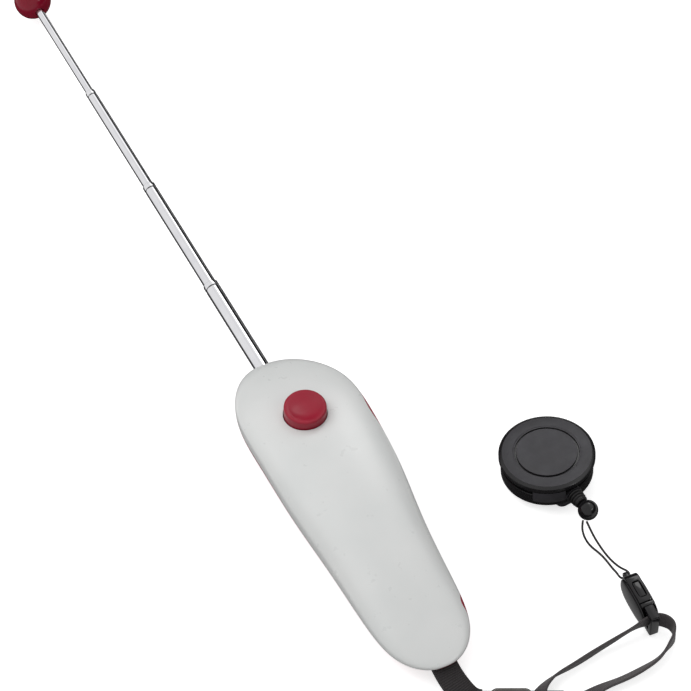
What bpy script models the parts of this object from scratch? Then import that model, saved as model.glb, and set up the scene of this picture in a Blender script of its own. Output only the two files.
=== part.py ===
"""Telescopic target stick for training pets, with a clicker handle, a wrist strap and a belt reel.

Metres, +Z up. +Y runs along the rod from the handle's tail to the ball, +X is to its right.
The origin is the middle of the flat on the handle's belly, which rests on the table.
The rod is drawn half way out of the handle, and the strap, clasp and reel lie beside it.
"""

import math

import bmesh
import bpy
import numpy as np
from mathutils import Matrix, Vector

MM = 0.001

# Clearances, and how far a cut runs past the surface that it opens
SEAT_GAP = 0.3 * MM
SLIDE_GAP = 0.07 * MM
OVERRUN = 4.0 * MM

# Facets round a turned form
BORE_SIDES = 12
AXLE_SIDES = 16
BALL_SIDES = 18
BUTTON_SIDES = 22
SPOOL_SIDES = 24
BUTTON_HOLE_SIDES = 28
REEL_SIDES = 32

# Handle: outline stations as shares of its length, from the tail to the nose
HANDLE_TAIL_Y = -64.0 * MM
HANDLE_NOSE_Y = 66.0 * MM
STATIONS = (0.08, 0.22, 0.38, 0.54, 0.70, 0.84, 0.94)
HALF_WIDTHS = (13.4 * MM, 16.1 * MM, 17.3 * MM, 19.0 * MM, 19.5 * MM, 18.6 * MM, 12.8 * MM)
PALM_SWELLS = (0.0, 0.0, 0.3 * MM, 1.2 * MM, 1.9 * MM, 1.9 * MM, 0.9 * MM)
WAIST_HEIGHTS = (8.9 * MM, 10.0 * MM, 12.4 * MM, 15.1 * MM, 16.7 * MM, 15.8 * MM, 12.9 * MM)
CROWN_RISES = (3.7 * MM, 7.5 * MM, 8.8 * MM, 7.9 * MM, 6.2 * MM, 5.0 * MM, 3.9 * MM)
BELLY_DROPS = (5.4 * MM, 9.4 * MM, 12.9 * MM, 15.7 * MM, 17.2 * MM, 15.5 * MM, 9.6 * MM)
TAIL_WAIST_Z = 8.5 * MM
SECTION_POWER = 2.4
SHELL_WALL = 2.0 * MM
END_WALL_FACTOR = 1.5
LEAST_HOLLOW = 0.2
SEAM_DROP_LEFT = 4.6 * MM
SEAM_DROP_RIGHT = 1.5 * MM
SEAM_LOBES = ((0.70, 0.11, 3.9 * MM), (0.135, 0.045, 3.6 * MM))
SEAM_BLEND = 10.0 * MM
FORM_ROWS = 28
FORM_SIDES = 26
HOLLOW_ROWS = 16
HOLLOW_SIDES = 18
SEAM_COLUMNS = 9
SEAM_ROWS = 34
FAR = 60.0 * MM
SHELL_SOLVER = "MANIFOLD"

# Telescopic rod: tubes from the handle outwards, mouth positions in the rest pose
ROD_Z = 9.5 * MM
TUBE_RADII = (2.6 * MM, 2.2 * MM, 1.8 * MM, 1.4 * MM)
TUBE_WALL = 0.25 * MM
TUBE_LENGTHS = (105.0 * MM, 101.5 * MM, 98.0 * MM, 98.5 * MM)
TUBE_MOUTHS_Y = (104.8 * MM, 153.5 * MM, 201.7 * MM)
LIP_LENGTH = 1.3 * MM
LIP_GROOVE = 0.12 * MM
BALL_RADIUS = 6.55 * MM
BALL_Y = 251.2 * MM
BALL_SOCKET_DEPTH = 5.5 * MM
ROD_SIDES = 16
PLUG_HEAD = 3.0 * MM
PLUG_SPIGOT = 2.0 * MM

# Guide tube that holds the rod inside the handle, and the room kept between its rear end and the strap pin
GUIDE_FRONT_Y = 59.5 * MM
GUIDE_WALL = 0.6 * MM
GUIDE_REAR_ROOM = 8.5 * MM
SADDLES_Y = (52.0 * MM, 6.0 * MM, -37.0 * MM)
SADDLE_THICKNESS = 1.8 * MM
SADDLE_HALF_WIDTH = 5.5 * MM
SADDLE_SIDES = 12
CAP_THICKNESS = 1.5 * MM
CAP_SPIGOT = 1.5 * MM

# Button and clicker
BUTTON_Y = 33.75 * MM
BUTTON_RADIUS = 6.95 * MM
BUTTON_RIM_Z = 26.2 * MM
BUTTON_DISH = 1.0 * MM
FLANGE_RADIUS = 8.2 * MM
FLANGE_TOP_Z = 18.9 * MM
FLANGE_THICKNESS = 1.2 * MM
STEM_RADIUS = 3.0 * MM
BUTTON_TRAVEL = 1.6 * MM
WELL_WALL = 1.2 * MM
WELL_CLEARANCE = 0.5 * MM
WELL_BOTTOM_Z = 16.9 * MM
LEAF_CROWN_Z = 16.6 * MM
LEAF_RISE = 1.5 * MM
LEAF_THICKNESS = 0.4 * MM
LEAF_LENGTH = 20.0 * MM
LEAF_WIDTH = 9.0 * MM
BRIDGE_THICKNESS = 1.3 * MM
BRIDGE_LENGTH = 24.0 * MM
BRIDGE_HALF_WIDTH = 7.5 * MM
BRIDGE_SEAT_Z = 3.0 * MM
BRIDGE_LEG = 1.8 * MM
LEG_CLEARANCE = 1.0 * MM
BRIDGE_ARCH = 12.0 * MM
BRIDGE_LIP = 1.2 * MM

# Screws, two near the nose and two near the tail: half spacing, station, seat height, post top
SCREW_PLACES = (
    (11.5 * MM, 44.0 * MM, 5.2 * MM, 11.2 * MM),
    (9.5 * MM, -38.0 * MM, 4.4 * MM, 7.2 * MM),
)
SCREW_HEAD_RADIUS = 2.3 * MM
SCREW_HEAD_HEIGHT = 1.5 * MM
SCREW_RADIUS = 1.05 * MM
SCREW_LENGTH = 9.0 * MM
SCREW_BORE_SIDES = 8
POST_RADIUS = 3.4 * MM
POST_SIDES = 10

# Strap pin and webbing in the tail, and the spacing of the sections along a band or cord
BAND_STEP = 1.95 * MM
PIN_Y = -50.5 * MM
PIN_RADIUS = 1.2 * MM
EAR_X = 6.8 * MM
EAR_THICKNESS = 1.6 * MM
EAR_LENGTH = 4.4 * MM
EAR_RISE = 1.9 * MM
WEBBING_WIDTH = 8.4 * MM
WEBBING_THICKNESS = 2.2 * MM
WEBBING_ROUTE = (
    (0.0, -52.2, 8.5), (0.0, -60.5, 8.5), (0.1, -64.5, 7.9), (0.5, -68.2, 5.6),
    (1.3, -71.6, 3.3), (2.5, -74.2, 2.0),
)

# Wire ring between the webbing and the narrow strap
RING_CENTRE = (13.6 * MM, -81.0 * MM, 1.6 * MM)
RING_YAW = math.radians(-26.8)
RING_LENGTH = 12.0 * MM
RING_WIDTH = 9.0 * MM
RING_CORNER = 1.8 * MM
RING_WIRE_RADIUS = 0.6 * MM
FOLD_WIDTH = 7.0 * MM
FOLD_HEIGHT = 2.6 * MM
WEBBING_FOLD_LENGTH = 5.6 * MM
STRAP_FOLD_LENGTH = 11.8 * MM
FOLD_ROUNDING = 0.5 * MM

# Narrow strap: route in millimetres, and the turn of its face from flat in degrees
STRAP_WIDTH = 4.8 * MM
STRAP_THICKNESS = 0.9 * MM
STRAP_ROUTE = (
    (28.62, -88.59, 1.6), (30.4, -89.45, 1.5), (34.6, -90.3, 1.2), (40.1, -90.5, 1.2), (48.0, -91.0, 1.7),
    (56.4, -90.6, 2.5),
    (62.4, -89.3, 2.9), (67.9, -86.1, 3.1), (71.0, -82.1, 3.7), (70.9, -78.9, 4.6), (68.8, -76.9, 5.3),
    (65.4, -76.3, 5.6), (61.1, -76.0, 5.1), (54.0, -76.3, 3.7), (47.2, -76.8, 2.7), (41.0, -77.7, 2.1),
    (35.4, -78.8, 2.2), (30.2, -79.2, 2.6), (26.9, -80.0, 2.8),
    (25.15, -82.55, 2.8),
)
STRAP_TURNS = (0, 0, 0, 2, 20, 50, 78, 90, 90, 90, 90, 90, 90, 74, 52, 38, 48, 76, 90, 90)

# Clasp, standing on its narrow edge, its axis near -Y
CLASP_PLACE = (65.9 * MM, -72.3 * MM, 5.6 * MM)
CLASP_YAW = math.radians(-3.5)
CLASP_WIDTH = 10.4 * MM
CLASP_THICKNESS = 4.6 * MM
SOCKET_LENGTH = 12.2 * MM
SOCKET_WALL = 0.9 * MM
SOCKET_END_WALL = 3.0 * MM
SOCKET_ROUNDING = 0.45 * MM
WINDOW_START = 1.8 * MM
WINDOW_LENGTH = 6.4 * MM
WINDOW_WIDTH = 2.9 * MM
EYE_LENGTH = 3.0 * MM
EYE_THICKNESS = 1.2 * MM
EYE_HEIGHT = 3.6 * MM
EYE_BORE = 0.95 * MM
EYE_MARGIN = 0.7 * MM
TONGUE_FLANGE = 1.3 * MM
TONGUE_TAIL = 5.2 * MM
TONGUE_THICKNESS = 3.0 * MM
TONGUE_SHOULDER = 0.4 * MM
TONGUE_ROUNDING = 0.25 * MM
SLOT_START = 1.0 * MM
SLOT_LENGTH = 2.6 * MM
SLOT_HEIGHT = 5.7 * MM
PRONG_LENGTH = 8.6 * MM
PRONG_THICKNESS = 1.3 * MM
PRONG_WIDTH = 2.3 * MM
PRONG_BULGE = 0.55 * MM
CORE_LENGTH = 7.0 * MM
CORE_HEIGHT = 1.8 * MM
CORE_THICKNESS = 2.0 * MM

# Thin cord loop, from the bead through the clasp's eye and back, route in millimetres
CORD_DIAMETER = 0.7 * MM
CORD_ROUTE = (
    (65.3, -33.5, 5.8), (64.3, -35.0, 4.2), (63.9, -37.3, 2.3), (64.4, -40.4, 1.0), (65.5, -43.7, 0.7),
    (66.1, -47.3, 0.9), (66.0, -51.5, 1.9), (65.5, -55.0, 4.0), (65.1, -57.0, 5.2), (65.4, -58.5, 5.6),
    (66.7, -58.9, 5.6), (68.0, -58.5, 5.6), (68.4, -57.0, 5.2), (68.1, -54.6, 3.9), (67.6, -50.8, 2.1),
    (67.3, -46.9, 1.1), (67.1, -42.2, 0.9), (66.8, -38.9, 1.9), (66.4, -36.4, 3.9), (66.05, -34.5, 5.9),
)

# Belt reel, lying tilted on its clip, its cord mouth near -Y
REEL_PLACE = (65.6 * MM, -9.4 * MM, 3.25 * MM)
REEL_YAW = math.radians(5.0)
REEL_TILT = math.radians(4.5)
COVER_RADIUS = 15.65 * MM
COVER_THICKNESS = 2.2 * MM
COVER_CHAMFER = 0.6 * MM
COVER_SKIRT = 0.8 * MM
DISC_RADIUS = 9.9 * MM
DISC_GROOVE_WIDTH = 0.5 * MM
DISC_GROOVE_DEPTH = 0.35 * MM
CASE_RADIUS = 15.0 * MM
CASE_HEIGHT = 6.7 * MM
CASE_WALL = 0.8 * MM
CASE_FLOOR = 1.3 * MM
BAND_HEIGHT = 1.9 * MM
BAND_DEPTH = 0.8 * MM
BLOCK_HALF_WIDTH = 5.6 * MM
BLOCK_FOOT_Z = 0.4 * MM
BLOCK_INSET = 0.15 * MM
BLOCK_HEAD_GAP = 0.05 * MM
MOUTH_Z = 3.4 * MM
MOUTH_RADIUS = 1.75 * MM
AXLE_RADIUS = 1.5 * MM
AXLE_HEAD_RADIUS = 2.6 * MM
AXLE_HEAD_HEIGHT = 0.6 * MM
SPOOL_RADIUS = 12.8 * MM
SPOOL_HEIGHT = 3.2 * MM
SPOOL_FLANGE = 0.6 * MM
SPOOL_CORE_RADIUS = 7.4 * MM
SPOOL_CUP_RADIUS = 6.6 * MM
WOUND_RADIUS = 11.6 * MM
SPRING_STRIP = 0.25 * MM
SPRING_TURNS = 4
BOOT_RIB_RADII = (2.7 * MM, 2.6 * MM, 2.5 * MM, 2.3 * MM)
BOOT_VALLEY_RADIUS = 1.9 * MM
BOOT_PITCH = 1.05 * MM
BOOT_SPIGOT = 1.4 * MM
BOOT_SPIGOT_LENGTH = 1.6 * MM
BEAD_RADIUS = 3.3 * MM
BEAD_FLAT_ANGLE = math.radians(20)
CLIP_PIVOT_Y = 6.0 * MM
CLIP_PIVOT_Z = -1.4 * MM
CLIP_PIN_RADIUS = 0.6 * MM
CLIP_HALF_WIDTH = 4.9 * MM
CLIP_THICKNESS = 0.9 * MM
CLIP_THUMB = 5.0 * MM
CLIP_REACH = 19.0 * MM
CLIP_FLARE = 1.9 * MM
CLIP_BEND = 3.0 * MM
CLIP_LIP = 0.8 * MM
CLIP_TOOTH = 2.6 * MM
CLIP_HUB_RADIUS = 1.1 * MM
LUG_THICKNESS = 1.5 * MM
LUG_LENGTH = 4.0 * MM
LUG_DROP = 1.0 * MM
LUG_ROOT = 0.5 * MM
CLIP_COIL_RADIUS = 1.0 * MM
CLIP_COIL_WIRE = 0.2 * MM
CLIP_COIL_TURNS = 4


def clear_scene():
    for obj in list(bpy.data.objects):
        bpy.data.objects.remove(obj, do_unlink=True)


def material(name, colour, roughness, metallic=0.0):
    """A Principled material of one colour, given as linear RGB."""
    made = bpy.data.materials.new(name)
    made.use_nodes = True
    shader = made.node_tree.nodes["Principled BSDF"]
    shader.inputs["Base Color"].default_value = (*colour, 1.0)
    shader.inputs["Roughness"].default_value = roughness
    shader.inputs["Metallic"].default_value = metallic
    made.diffuse_color = (*colour, 1.0)
    return made


def place_at(name, place, yaw=0.0, tilt=0.0):
    """An empty that a group of pieces is built round; tilt lifts its -Y side."""
    empty = bpy.data.objects.new(name, None)
    empty.location = place
    empty.rotation_euler = (-tilt, 0.0, yaw)
    bpy.context.scene.collection.objects.link(empty)
    return empty


def finish_mesh(name, bm, finish, parent=None, smooth=True):
    """Turns a bmesh into a named object with outward faces."""
    bmesh.ops.remove_doubles(bm, verts=bm.verts, dist=1e-7)
    bmesh.ops.recalc_face_normals(bm, faces=bm.faces)
    mesh = bpy.data.meshes.new(name)
    bm.to_mesh(mesh)
    bm.free()
    if smooth:
        mesh.shade_smooth()
        mesh.set_sharp_from_angle(angle=math.radians(35))
    obj = bpy.data.objects.new(name, mesh)
    if finish is not None:
        mesh.materials.append(finish)
    obj.parent = parent
    bpy.context.scene.collection.objects.link(obj)
    return obj


def hide(obj):
    """Marks a helper solid that only shapes another piece."""
    obj.hide_render = True
    obj.display_type = "WIRE"
    return obj


def combine(obj, operation, other, solver="EXACT"):
    """Adds a Boolean with a helper solid. The thin shells need the MANIFOLD solver: EXACT leaves them open."""
    modifier = obj.modifiers.new(other.name, "BOOLEAN")
    modifier.operation = operation
    modifier.object = other
    modifier.solver = solver
    if solver == "EXACT":
        modifier.use_self = True
    return obj


def add_turned(bm, profile, sides, matrix=None):
    """Spins a profile of (radius, height) points round Z; a closed loop where it misses the axis."""
    verts = [bm.verts.new((radius, 0.0, height)) for radius, height in profile]
    pairs = list(zip(verts, verts[1:]))
    touches_axis = profile[0][0] == 0.0 and profile[-1][0] == 0.0
    if not touches_axis:
        pairs.append((verts[-1], verts[0]))
    edges = [bm.edges.new(pair) for pair in pairs]
    full_turn = 2 * math.pi
    bmesh.ops.spin(bm, geom=verts + edges, cent=(0, 0, 0), axis=(0, 0, 1), angle=full_turn, steps=sides)
    bmesh.ops.remove_doubles(bm, verts=bm.verts, dist=1e-7)
    if matrix is not None:
        bmesh.ops.transform(bm, matrix=matrix, verts=bm.verts)


def turned(name, profile, finish, sides=24, parent=None, matrix=None):
    bm = bmesh.new()
    add_turned(bm, profile, sides, matrix)
    return finish_mesh(name, bm, finish, parent)


def add_box(bm, low, high):
    size = Vector(high) - Vector(low)
    middle = (Vector(high) + Vector(low)) / 2
    bmesh.ops.create_cube(bm, size=1.0, matrix=Matrix.Translation(middle) @ Matrix.Diagonal((*size, 1.0)))


def add_cylinder(bm, radius, start, end, sides=20):
    """A cylinder between two points, with a facet edge kept at the same angle."""
    start, end = Vector(start), Vector(end)
    along = end - start
    turn = Vector((0, 0, 1)).rotation_difference(along.normalized()).to_matrix().to_4x4()
    matrix = Matrix.Translation((start + end) / 2) @ turn
    bmesh.ops.create_cone(
        bm, cap_ends=True, segments=sides, radius1=radius, radius2=radius, depth=along.length, matrix=matrix
    )


def add_loft(bm, rings):
    """Skins closed rings of points and closes the two ends with one face each."""
    rows = [[bm.verts.new(point) for point in ring] for ring in rings]
    count = len(rows[0])
    for row, after in zip(rows, rows[1:]):
        for k in range(count):
            bm.faces.new((row[k], row[(k + 1) % count], after[(k + 1) % count], after[k]))
    bm.faces.new(rows[0])
    bm.faces.new(rows[-1][::-1])


def helper(name, bm, parent=None):
    return hide(finish_mesh(name, bm, None, parent, smooth=False))


def bevelled(obj, width, angle=40, segments=1):
    modifier = obj.modifiers.new("edges", "BEVEL")
    modifier.width = width
    modifier.segments = segments
    modifier.limit_method = "ANGLE"
    modifier.angle_limit = math.radians(angle)
    return obj


def spline(knots, values, at, flat_ends=False):
    """A cubic spline through values at knots, natural at its ends or with no slope there."""
    x, y = np.asarray(knots, float), np.asarray(values, float)
    n = len(x)
    step = np.diff(x)
    slope = np.diff(y) / step
    matrix, right = np.zeros((n, n)), np.zeros(n)
    for k in range(1, n - 1):
        matrix[k, k - 1 : k + 2] = step[k - 1], 2 * (step[k - 1] + step[k]), step[k]
        right[k] = 6 * (slope[k] - slope[k - 1])
    if flat_ends:
        matrix[0, :2] = 2 * step[0], step[0]
        matrix[-1, -2:] = step[-1], 2 * step[-1]
        right[0], right[-1] = 6 * slope[0], -6 * slope[-1]
    else:
        matrix[0, 0] = matrix[-1, -1] = 1.0
    bend = np.linalg.solve(matrix, right)
    at = np.clip(np.asarray(at, float), x[0], x[-1])
    k = np.clip(np.searchsorted(x, at) - 1, 0, n - 2)
    before, after = x[k + 1] - at, at - x[k]
    width = step[k]
    curve = (bend[k] * before**3 + bend[k + 1] * after**3) / (6 * width)
    from_left = (y[k] / width - bend[k] * width / 6) * before
    from_right = (y[k + 1] / width - bend[k + 1] * width / 6) * after
    return curve + from_left + from_right


# Handle form. A station is an angle from 0 at the tail to pi at the nose, so that the ends come out round.

KNOTS = np.concatenate([[0.0], np.arccos(1 - 2 * np.array(STATIONS)), [math.pi]])


def along_handle(values, station, tail=0.0, nose=0.0, flat_ends=False):
    return spline(KNOTS, (tail, *values, nose), station, flat_ends)


def waist_height(station):
    return along_handle(WAIST_HEIGHTS, station, TAIL_WAIST_Z, ROD_Z, flat_ends=True)


def station_of(y):
    share = np.clip((np.asarray(y) - HANDLE_TAIL_Y) / (HANDLE_NOSE_Y - HANDLE_TAIL_Y), 0.0, 1.0)
    return np.arccos(1 - 2 * share)


def inset(size, wall):
    return np.maximum(size - wall, size * LEAST_HOLLOW)


def handle_rings(wall, rows, points):
    """Rings of the handle's surface, or of its hollow where wall is above 0."""
    middle = (HANDLE_NOSE_Y + HANDLE_TAIL_Y) / 2
    reach = (HANDLE_NOSE_Y - HANDLE_TAIL_Y) / 2 - wall * END_WALL_FACTOR
    turn = np.linspace(0, 2 * math.pi, points, endpoint=False)
    side = np.sign(np.cos(turn)) * np.abs(np.cos(turn)) ** (2 / SECTION_POWER)
    rise = np.sign(np.sin(turn)) * np.abs(np.sin(turn)) ** (2 / SECTION_POWER)
    rings = []
    for station in np.linspace(0, math.pi, rows)[1:-1]:
        y = middle - reach * math.cos(station)
        place = station_of(y)
        width = along_handle(HALF_WIDTHS, place) + np.where(side > 0, along_handle(PALM_SWELLS, place), 0.0)
        height = np.where(rise > 0, along_handle(CROWN_RISES, place), along_handle(BELLY_DROPS, place))
        x = inset(width, wall) * side
        z = waist_height(place) + inset(height, wall) * rise
        if wall == 0:
            z = np.maximum(z, 0.0)
        rings.append([(float(px), float(y), float(pz)) for px, pz in zip(x, z)])
    return rings


def add_handle_form(bm, wall, rows, points):
    """The closed form: rings, and a fan to a point at the tail and at the nose."""
    rings = handle_rings(wall, rows, points)
    rows_made = [[bm.verts.new(point) for point in ring] for ring in rings]
    for row, after in zip(rows_made, rows_made[1:]):
        for k in range(points):
            bm.faces.new((row[k], row[(k + 1) % points], after[(k + 1) % points], after[k]))
    tips = (
        (rows_made[0], (0.0, HANDLE_TAIL_Y + wall * END_WALL_FACTOR, TAIL_WAIST_Z)),
        (rows_made[-1], (0.0, HANDLE_NOSE_Y - wall * END_WALL_FACTOR, ROD_Z)),
    )
    for row, place in tips:
        tip = bm.verts.new(place)
        for k in range(points):
            bm.faces.new((row[k], row[(k + 1) % points], tip))


def seam_height(x, y):
    """Height of the joint line between the shells: low on the left, in two lobes on the right."""
    station = station_of(y)
    share = (1 - np.cos(station)) / 2
    fade = (4 * share * (1 - share)) ** 0.4
    left = waist_height(station) - SEAM_DROP_LEFT * fade
    right = waist_height(station) - SEAM_DROP_RIGHT * fade
    for centre, spread, height in SEAM_LOBES:
        right = right + height * np.exp(-(((share - centre) / spread) ** 2))
    mix = np.clip(0.5 + x / (2 * SEAM_BLEND), 0, 1)
    mix = mix * mix * (3 - 2 * mix)
    return left + (right - left) * mix


def add_seam_block(bm, offset, far_z):
    """Everything on one side of the seam, from the seam plus offset to far_z."""
    xs = np.linspace(-1, 1, SEAM_COLUMNS) * (max(HALF_WIDTHS) + max(PALM_SWELLS) + OVERRUN)
    ys = np.linspace(HANDLE_TAIL_Y - OVERRUN, HANDLE_NOSE_Y + OVERRUN, SEAM_ROWS)
    near = [[bm.verts.new((x, y, float(seam_height(x, y)) + offset)) for x in xs] for y in ys]
    far = [[bm.verts.new((x, y, far_z)) for x in (xs[0], xs[-1])] for y in (ys[0], ys[-1])]
    for row, after in zip(near, near[1:]):
        for k in range(len(xs) - 1):
            bm.faces.new((row[k], row[k + 1], after[k + 1], after[k]))
    bm.faces.new((far[0][0], far[0][1], far[1][1], far[1][0]))
    bm.faces.new((*near[0], far[0][1], far[0][0]))
    bm.faces.new((*near[-1], far[1][1], far[1][0]))
    bm.faces.new((*[row[0] for row in near], far[1][0], far[0][0]))
    bm.faces.new((*[row[-1] for row in near], far[1][1], far[0][1]))


def screw_sites():
    """(x, y, seat height, post top) of each of the four screws."""
    for half_spacing, y, seat, top in SCREW_PLACES:
        for x in (-half_spacing, half_spacing):
            yield x, y, seat, top


def guide_radii():
    bore = TUBE_RADII[0] + 2 * SLIDE_GAP
    return bore, bore + GUIDE_WALL


def guide_rear_y():
    return PIN_Y + GUIDE_REAR_ROOM


def tail_slot(bm):
    half = WEBBING_WIDTH / 2 + 2 * SEAT_GAP
    rise = WEBBING_THICKNESS / 2 + 2 * SEAT_GAP
    rear, front = HANDLE_TAIL_Y - OVERRUN, PIN_Y - PIN_RADIUS - WEBBING_THICKNESS
    add_box(bm, (-half, rear, TAIL_WAIST_Z - rise), (half, front, TAIL_WAIST_Z + rise))


def nose_hole(bm):
    radius = TUBE_RADII[0] + SEAT_GAP
    rear, front = GUIDE_FRONT_Y - SEAT_GAP, HANDLE_NOSE_Y + OVERRUN
    add_cylinder(bm, radius, (0, rear, ROD_Z), (0, front, ROD_Z), ROD_SIDES)


def handle_solid(name, wall, rows, points):
    bm = bmesh.new()
    add_handle_form(bm, wall, rows, points)
    return helper(name, bm)


def make_shell(name, finish, seam_offset, far_z, fill):
    """Outer form less its hollow, plus what stands inside, less the other half's side of the seam.

    What stands inside is rooted half way into the wall, and past the seam it stays clear of the other half.
    """
    bm = bmesh.new()
    add_handle_form(bm, 0.0, FORM_ROWS, FORM_SIDES)
    shell = finish_mesh(name, bm, finish)
    hollow = handle_solid(name + "_hollow", SHELL_WALL, HOLLOW_ROWS, HOLLOW_SIDES)
    combine(shell, "DIFFERENCE", hollow, SHELL_SOLVER)
    roots = handle_solid(name + "_roots", SHELL_WALL / 2, HOLLOW_ROWS, HOLLOW_SIDES)
    combine(fill, "INTERSECT", roots, SHELL_SOLVER)
    combine(shell, "UNION", fill, SHELL_SOLVER)
    bm = bmesh.new()
    add_seam_block(bm, seam_offset, far_z)
    other_half = helper(name + "_other_half", bm)
    room = handle_solid(name + "_room", SHELL_WALL + SEAT_GAP, HOLLOW_ROWS, HOLLOW_SIDES)
    combine(other_half, "DIFFERENCE", room, SHELL_SOLVER)
    return combine(shell, "DIFFERENCE", other_half, SHELL_SOLVER)


def make_top_shell(finish):
    """Domed upper shell with the button well, screw bosses and half of each opening."""
    bm = bmesh.new()
    well = FLANGE_RADIUS + WELL_CLEARANCE
    height = BUTTON_RIM_Z - WELL_BOTTOM_Z
    ring = [(well, 0.0), (well + WELL_WALL, 0.0), (well + WELL_WALL, height), (well, height)]
    add_turned(bm, ring, 24, Matrix.Translation((0, BUTTON_Y, WELL_BOTTOM_Z)))
    for x, y, _, top in screw_sites():
        add_cylinder(bm, POST_RADIUS, (x, y, top + SEAT_GAP), (x, y, BUTTON_RIM_Z), POST_SIDES)
    shell = make_shell("top_shell", finish, SEAT_GAP / 2, -FAR, helper("top_fill", bm))
    bm = bmesh.new()
    radius = BUTTON_RADIUS + SEAT_GAP
    add_cylinder(bm, radius, (0, BUTTON_Y, WELL_BOTTOM_Z), (0, BUTTON_Y, BUTTON_RIM_Z), BUTTON_HOLE_SIDES)
    for x, y, seat, _ in screw_sites():
        end = seat + SCREW_LENGTH + SEAT_GAP
        add_cylinder(bm, SCREW_RADIUS + SEAT_GAP / 2, (x, y, 0), (x, y, end), SCREW_BORE_SIDES)
    nose_hole(bm)
    tail_slot(bm)
    combine(shell, "DIFFERENCE", helper("top_openings", bm), SHELL_SOLVER)


def bridge_leg_span(side):
    """The x range of the clicker bridge's leg on one side of the guide tube."""
    near = guide_radii()[1] + LEG_CLEARANCE
    return sorted((side * near, side * (near + BRIDGE_LEG)))


def make_bottom_shell(finish):
    """Lower tub with screw posts, saddles for the guide tube and ears for the strap pin."""
    bm = bmesh.new()
    for x, y, _, top in screw_sites():
        add_cylinder(bm, POST_RADIUS, (x, y, -SHELL_WALL), (x, y, top), POST_SIDES)
    for y in SADDLES_Y:
        half = SADDLE_THICKNESS / 2
        add_box(bm, (-SADDLE_HALF_WIDTH, y - half, -SHELL_WALL), (SADDLE_HALF_WIDTH, y + half, ROD_Z))
    for side in (-1, 1):
        x0, x1 = sorted((side * (EAR_X - EAR_THICKNESS / 2), side * (EAR_X + EAR_THICKNESS / 2)))
        top = TAIL_WAIST_Z + EAR_RISE
        add_box(bm, (x0, PIN_Y - EAR_LENGTH / 2, -SHELL_WALL), (x1, PIN_Y + EAR_LENGTH / 2, top))
        x0, x1 = bridge_leg_span(side)
        half = BRIDGE_LENGTH / 2
        add_box(bm, (x0, BUTTON_Y - half, -SHELL_WALL), (x1, BUTTON_Y + half, BRIDGE_SEAT_Z))
    shell = make_shell("bottom_shell", finish, -SEAT_GAP / 2, FAR, helper("bottom_fill", bm))
    bm = bmesh.new()
    for x, y, seat, _ in screw_sites():
        add_cylinder(bm, SCREW_HEAD_RADIUS + SEAT_GAP, (x, y, -SHELL_WALL), (x, y, seat), POST_SIDES)
    nose_hole(bm)
    tail_slot(bm)
    combine(shell, "DIFFERENCE", helper("bottom_openings", bm), SHELL_SOLVER)
    bm = bmesh.new()
    for x, y, seat, top in screw_sites():
        low, high = seat - SHELL_WALL, top + SHELL_WALL
        add_cylinder(bm, SCREW_RADIUS + SEAT_GAP, (x, y, low), (x, y, high), SCREW_BORE_SIDES)
    radius = guide_radii()[1] + SEAT_GAP / 2
    rear, front = SADDLES_Y[-1] - SADDLE_THICKNESS, SADDLES_Y[0] + SADDLE_THICKNESS
    add_cylinder(bm, radius, (0, rear, ROD_Z), (0, front, ROD_Z), SADDLE_SIDES)
    reach = EAR_X + EAR_THICKNESS
    left, right = (-reach, PIN_Y, TAIL_WAIST_Z), (reach, PIN_Y, TAIL_WAIST_Z)
    add_cylinder(bm, PIN_RADIUS + SLIDE_GAP, left, right, BORE_SIDES)
    combine(shell, "DIFFERENCE", helper("bottom_bores", bm), SHELL_SOLVER)


def make_screws(steel):
    """Pan-head screws from below, each in its own counterbore."""
    for index, (x, y, seat, _) in enumerate(screw_sites(), 1):
        head = SCREW_HEAD_RADIUS
        top = -SEAT_GAP
        profile = [
            (0.0, SCREW_LENGTH), (SCREW_RADIUS * 0.6, SCREW_LENGTH),
            (SCREW_RADIUS, SCREW_LENGTH - SCREW_RADIUS), (SCREW_RADIUS, top), (head, top),
            (head, top - SCREW_HEAD_HEIGHT * 0.5), (head * 0.7, top - SCREW_HEAD_HEIGHT),
            (0.0, top - SCREW_HEAD_HEIGHT),
        ]
        screw = turned(f"handle_screw_{index}", profile, steel, POST_SIDES)
        screw.location = (x, y, seat)


def section_profile(radius, bore, mouth_bore, length):
    """A drawn tube with its mouth at 0: a rolled-in lip, and a fine groove behind it."""
    lip = LIP_LENGTH
    roll = (radius + mouth_bore) / 2
    return [
        (mouth_bore, 0.0), (roll, 0.0), (radius, -lip * 0.45), (radius, -lip),
        (radius - LIP_GROOVE, -lip * 1.25), (radius, -lip * 1.5), (radius, -length),
        (bore, -length), (bore, -lip * 0.8), (mouth_bore, -lip * 0.4),
    ]


def plain_profile(radius, bore, length):
    """The tip section: a plain tube, its front edge broken where it sits in the ball."""
    middle = (radius + bore) / 2
    return [(bore, 0.0), (middle, 0.0), (radius, -TUBE_WALL), (radius, -length), (bore, -length)]


def on_rod(obj, y):
    """Lays a turned piece along the rod's axis, with its local +Z towards the ball."""
    obj.location = (0.0, y, ROD_Z)
    obj.rotation_euler = (-math.pi / 2, 0.0, 0.0)
    return obj


def stop_profile(head_radius, spigot_radius):
    """The plug at a section's inner end: its head slides in the next tube, its spigot fills its own."""
    return [
        (0.0, PLUG_SPIGOT), (spigot_radius, PLUG_SPIGOT), (spigot_radius, 0.0),
        (head_radius, 0.0), (head_radius, -PLUG_HEAD), (0.0, -PLUG_HEAD),
    ]


def half_circle(radius, start, steps):
    """Profile of a ball from the angle start off its lower pole to its upper pole."""
    angles = np.linspace(start, math.pi, steps + 1)[:-1]
    return [*[(radius * math.sin(a), -radius * math.cos(a)) for a in angles], (0.0, radius)]


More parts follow.
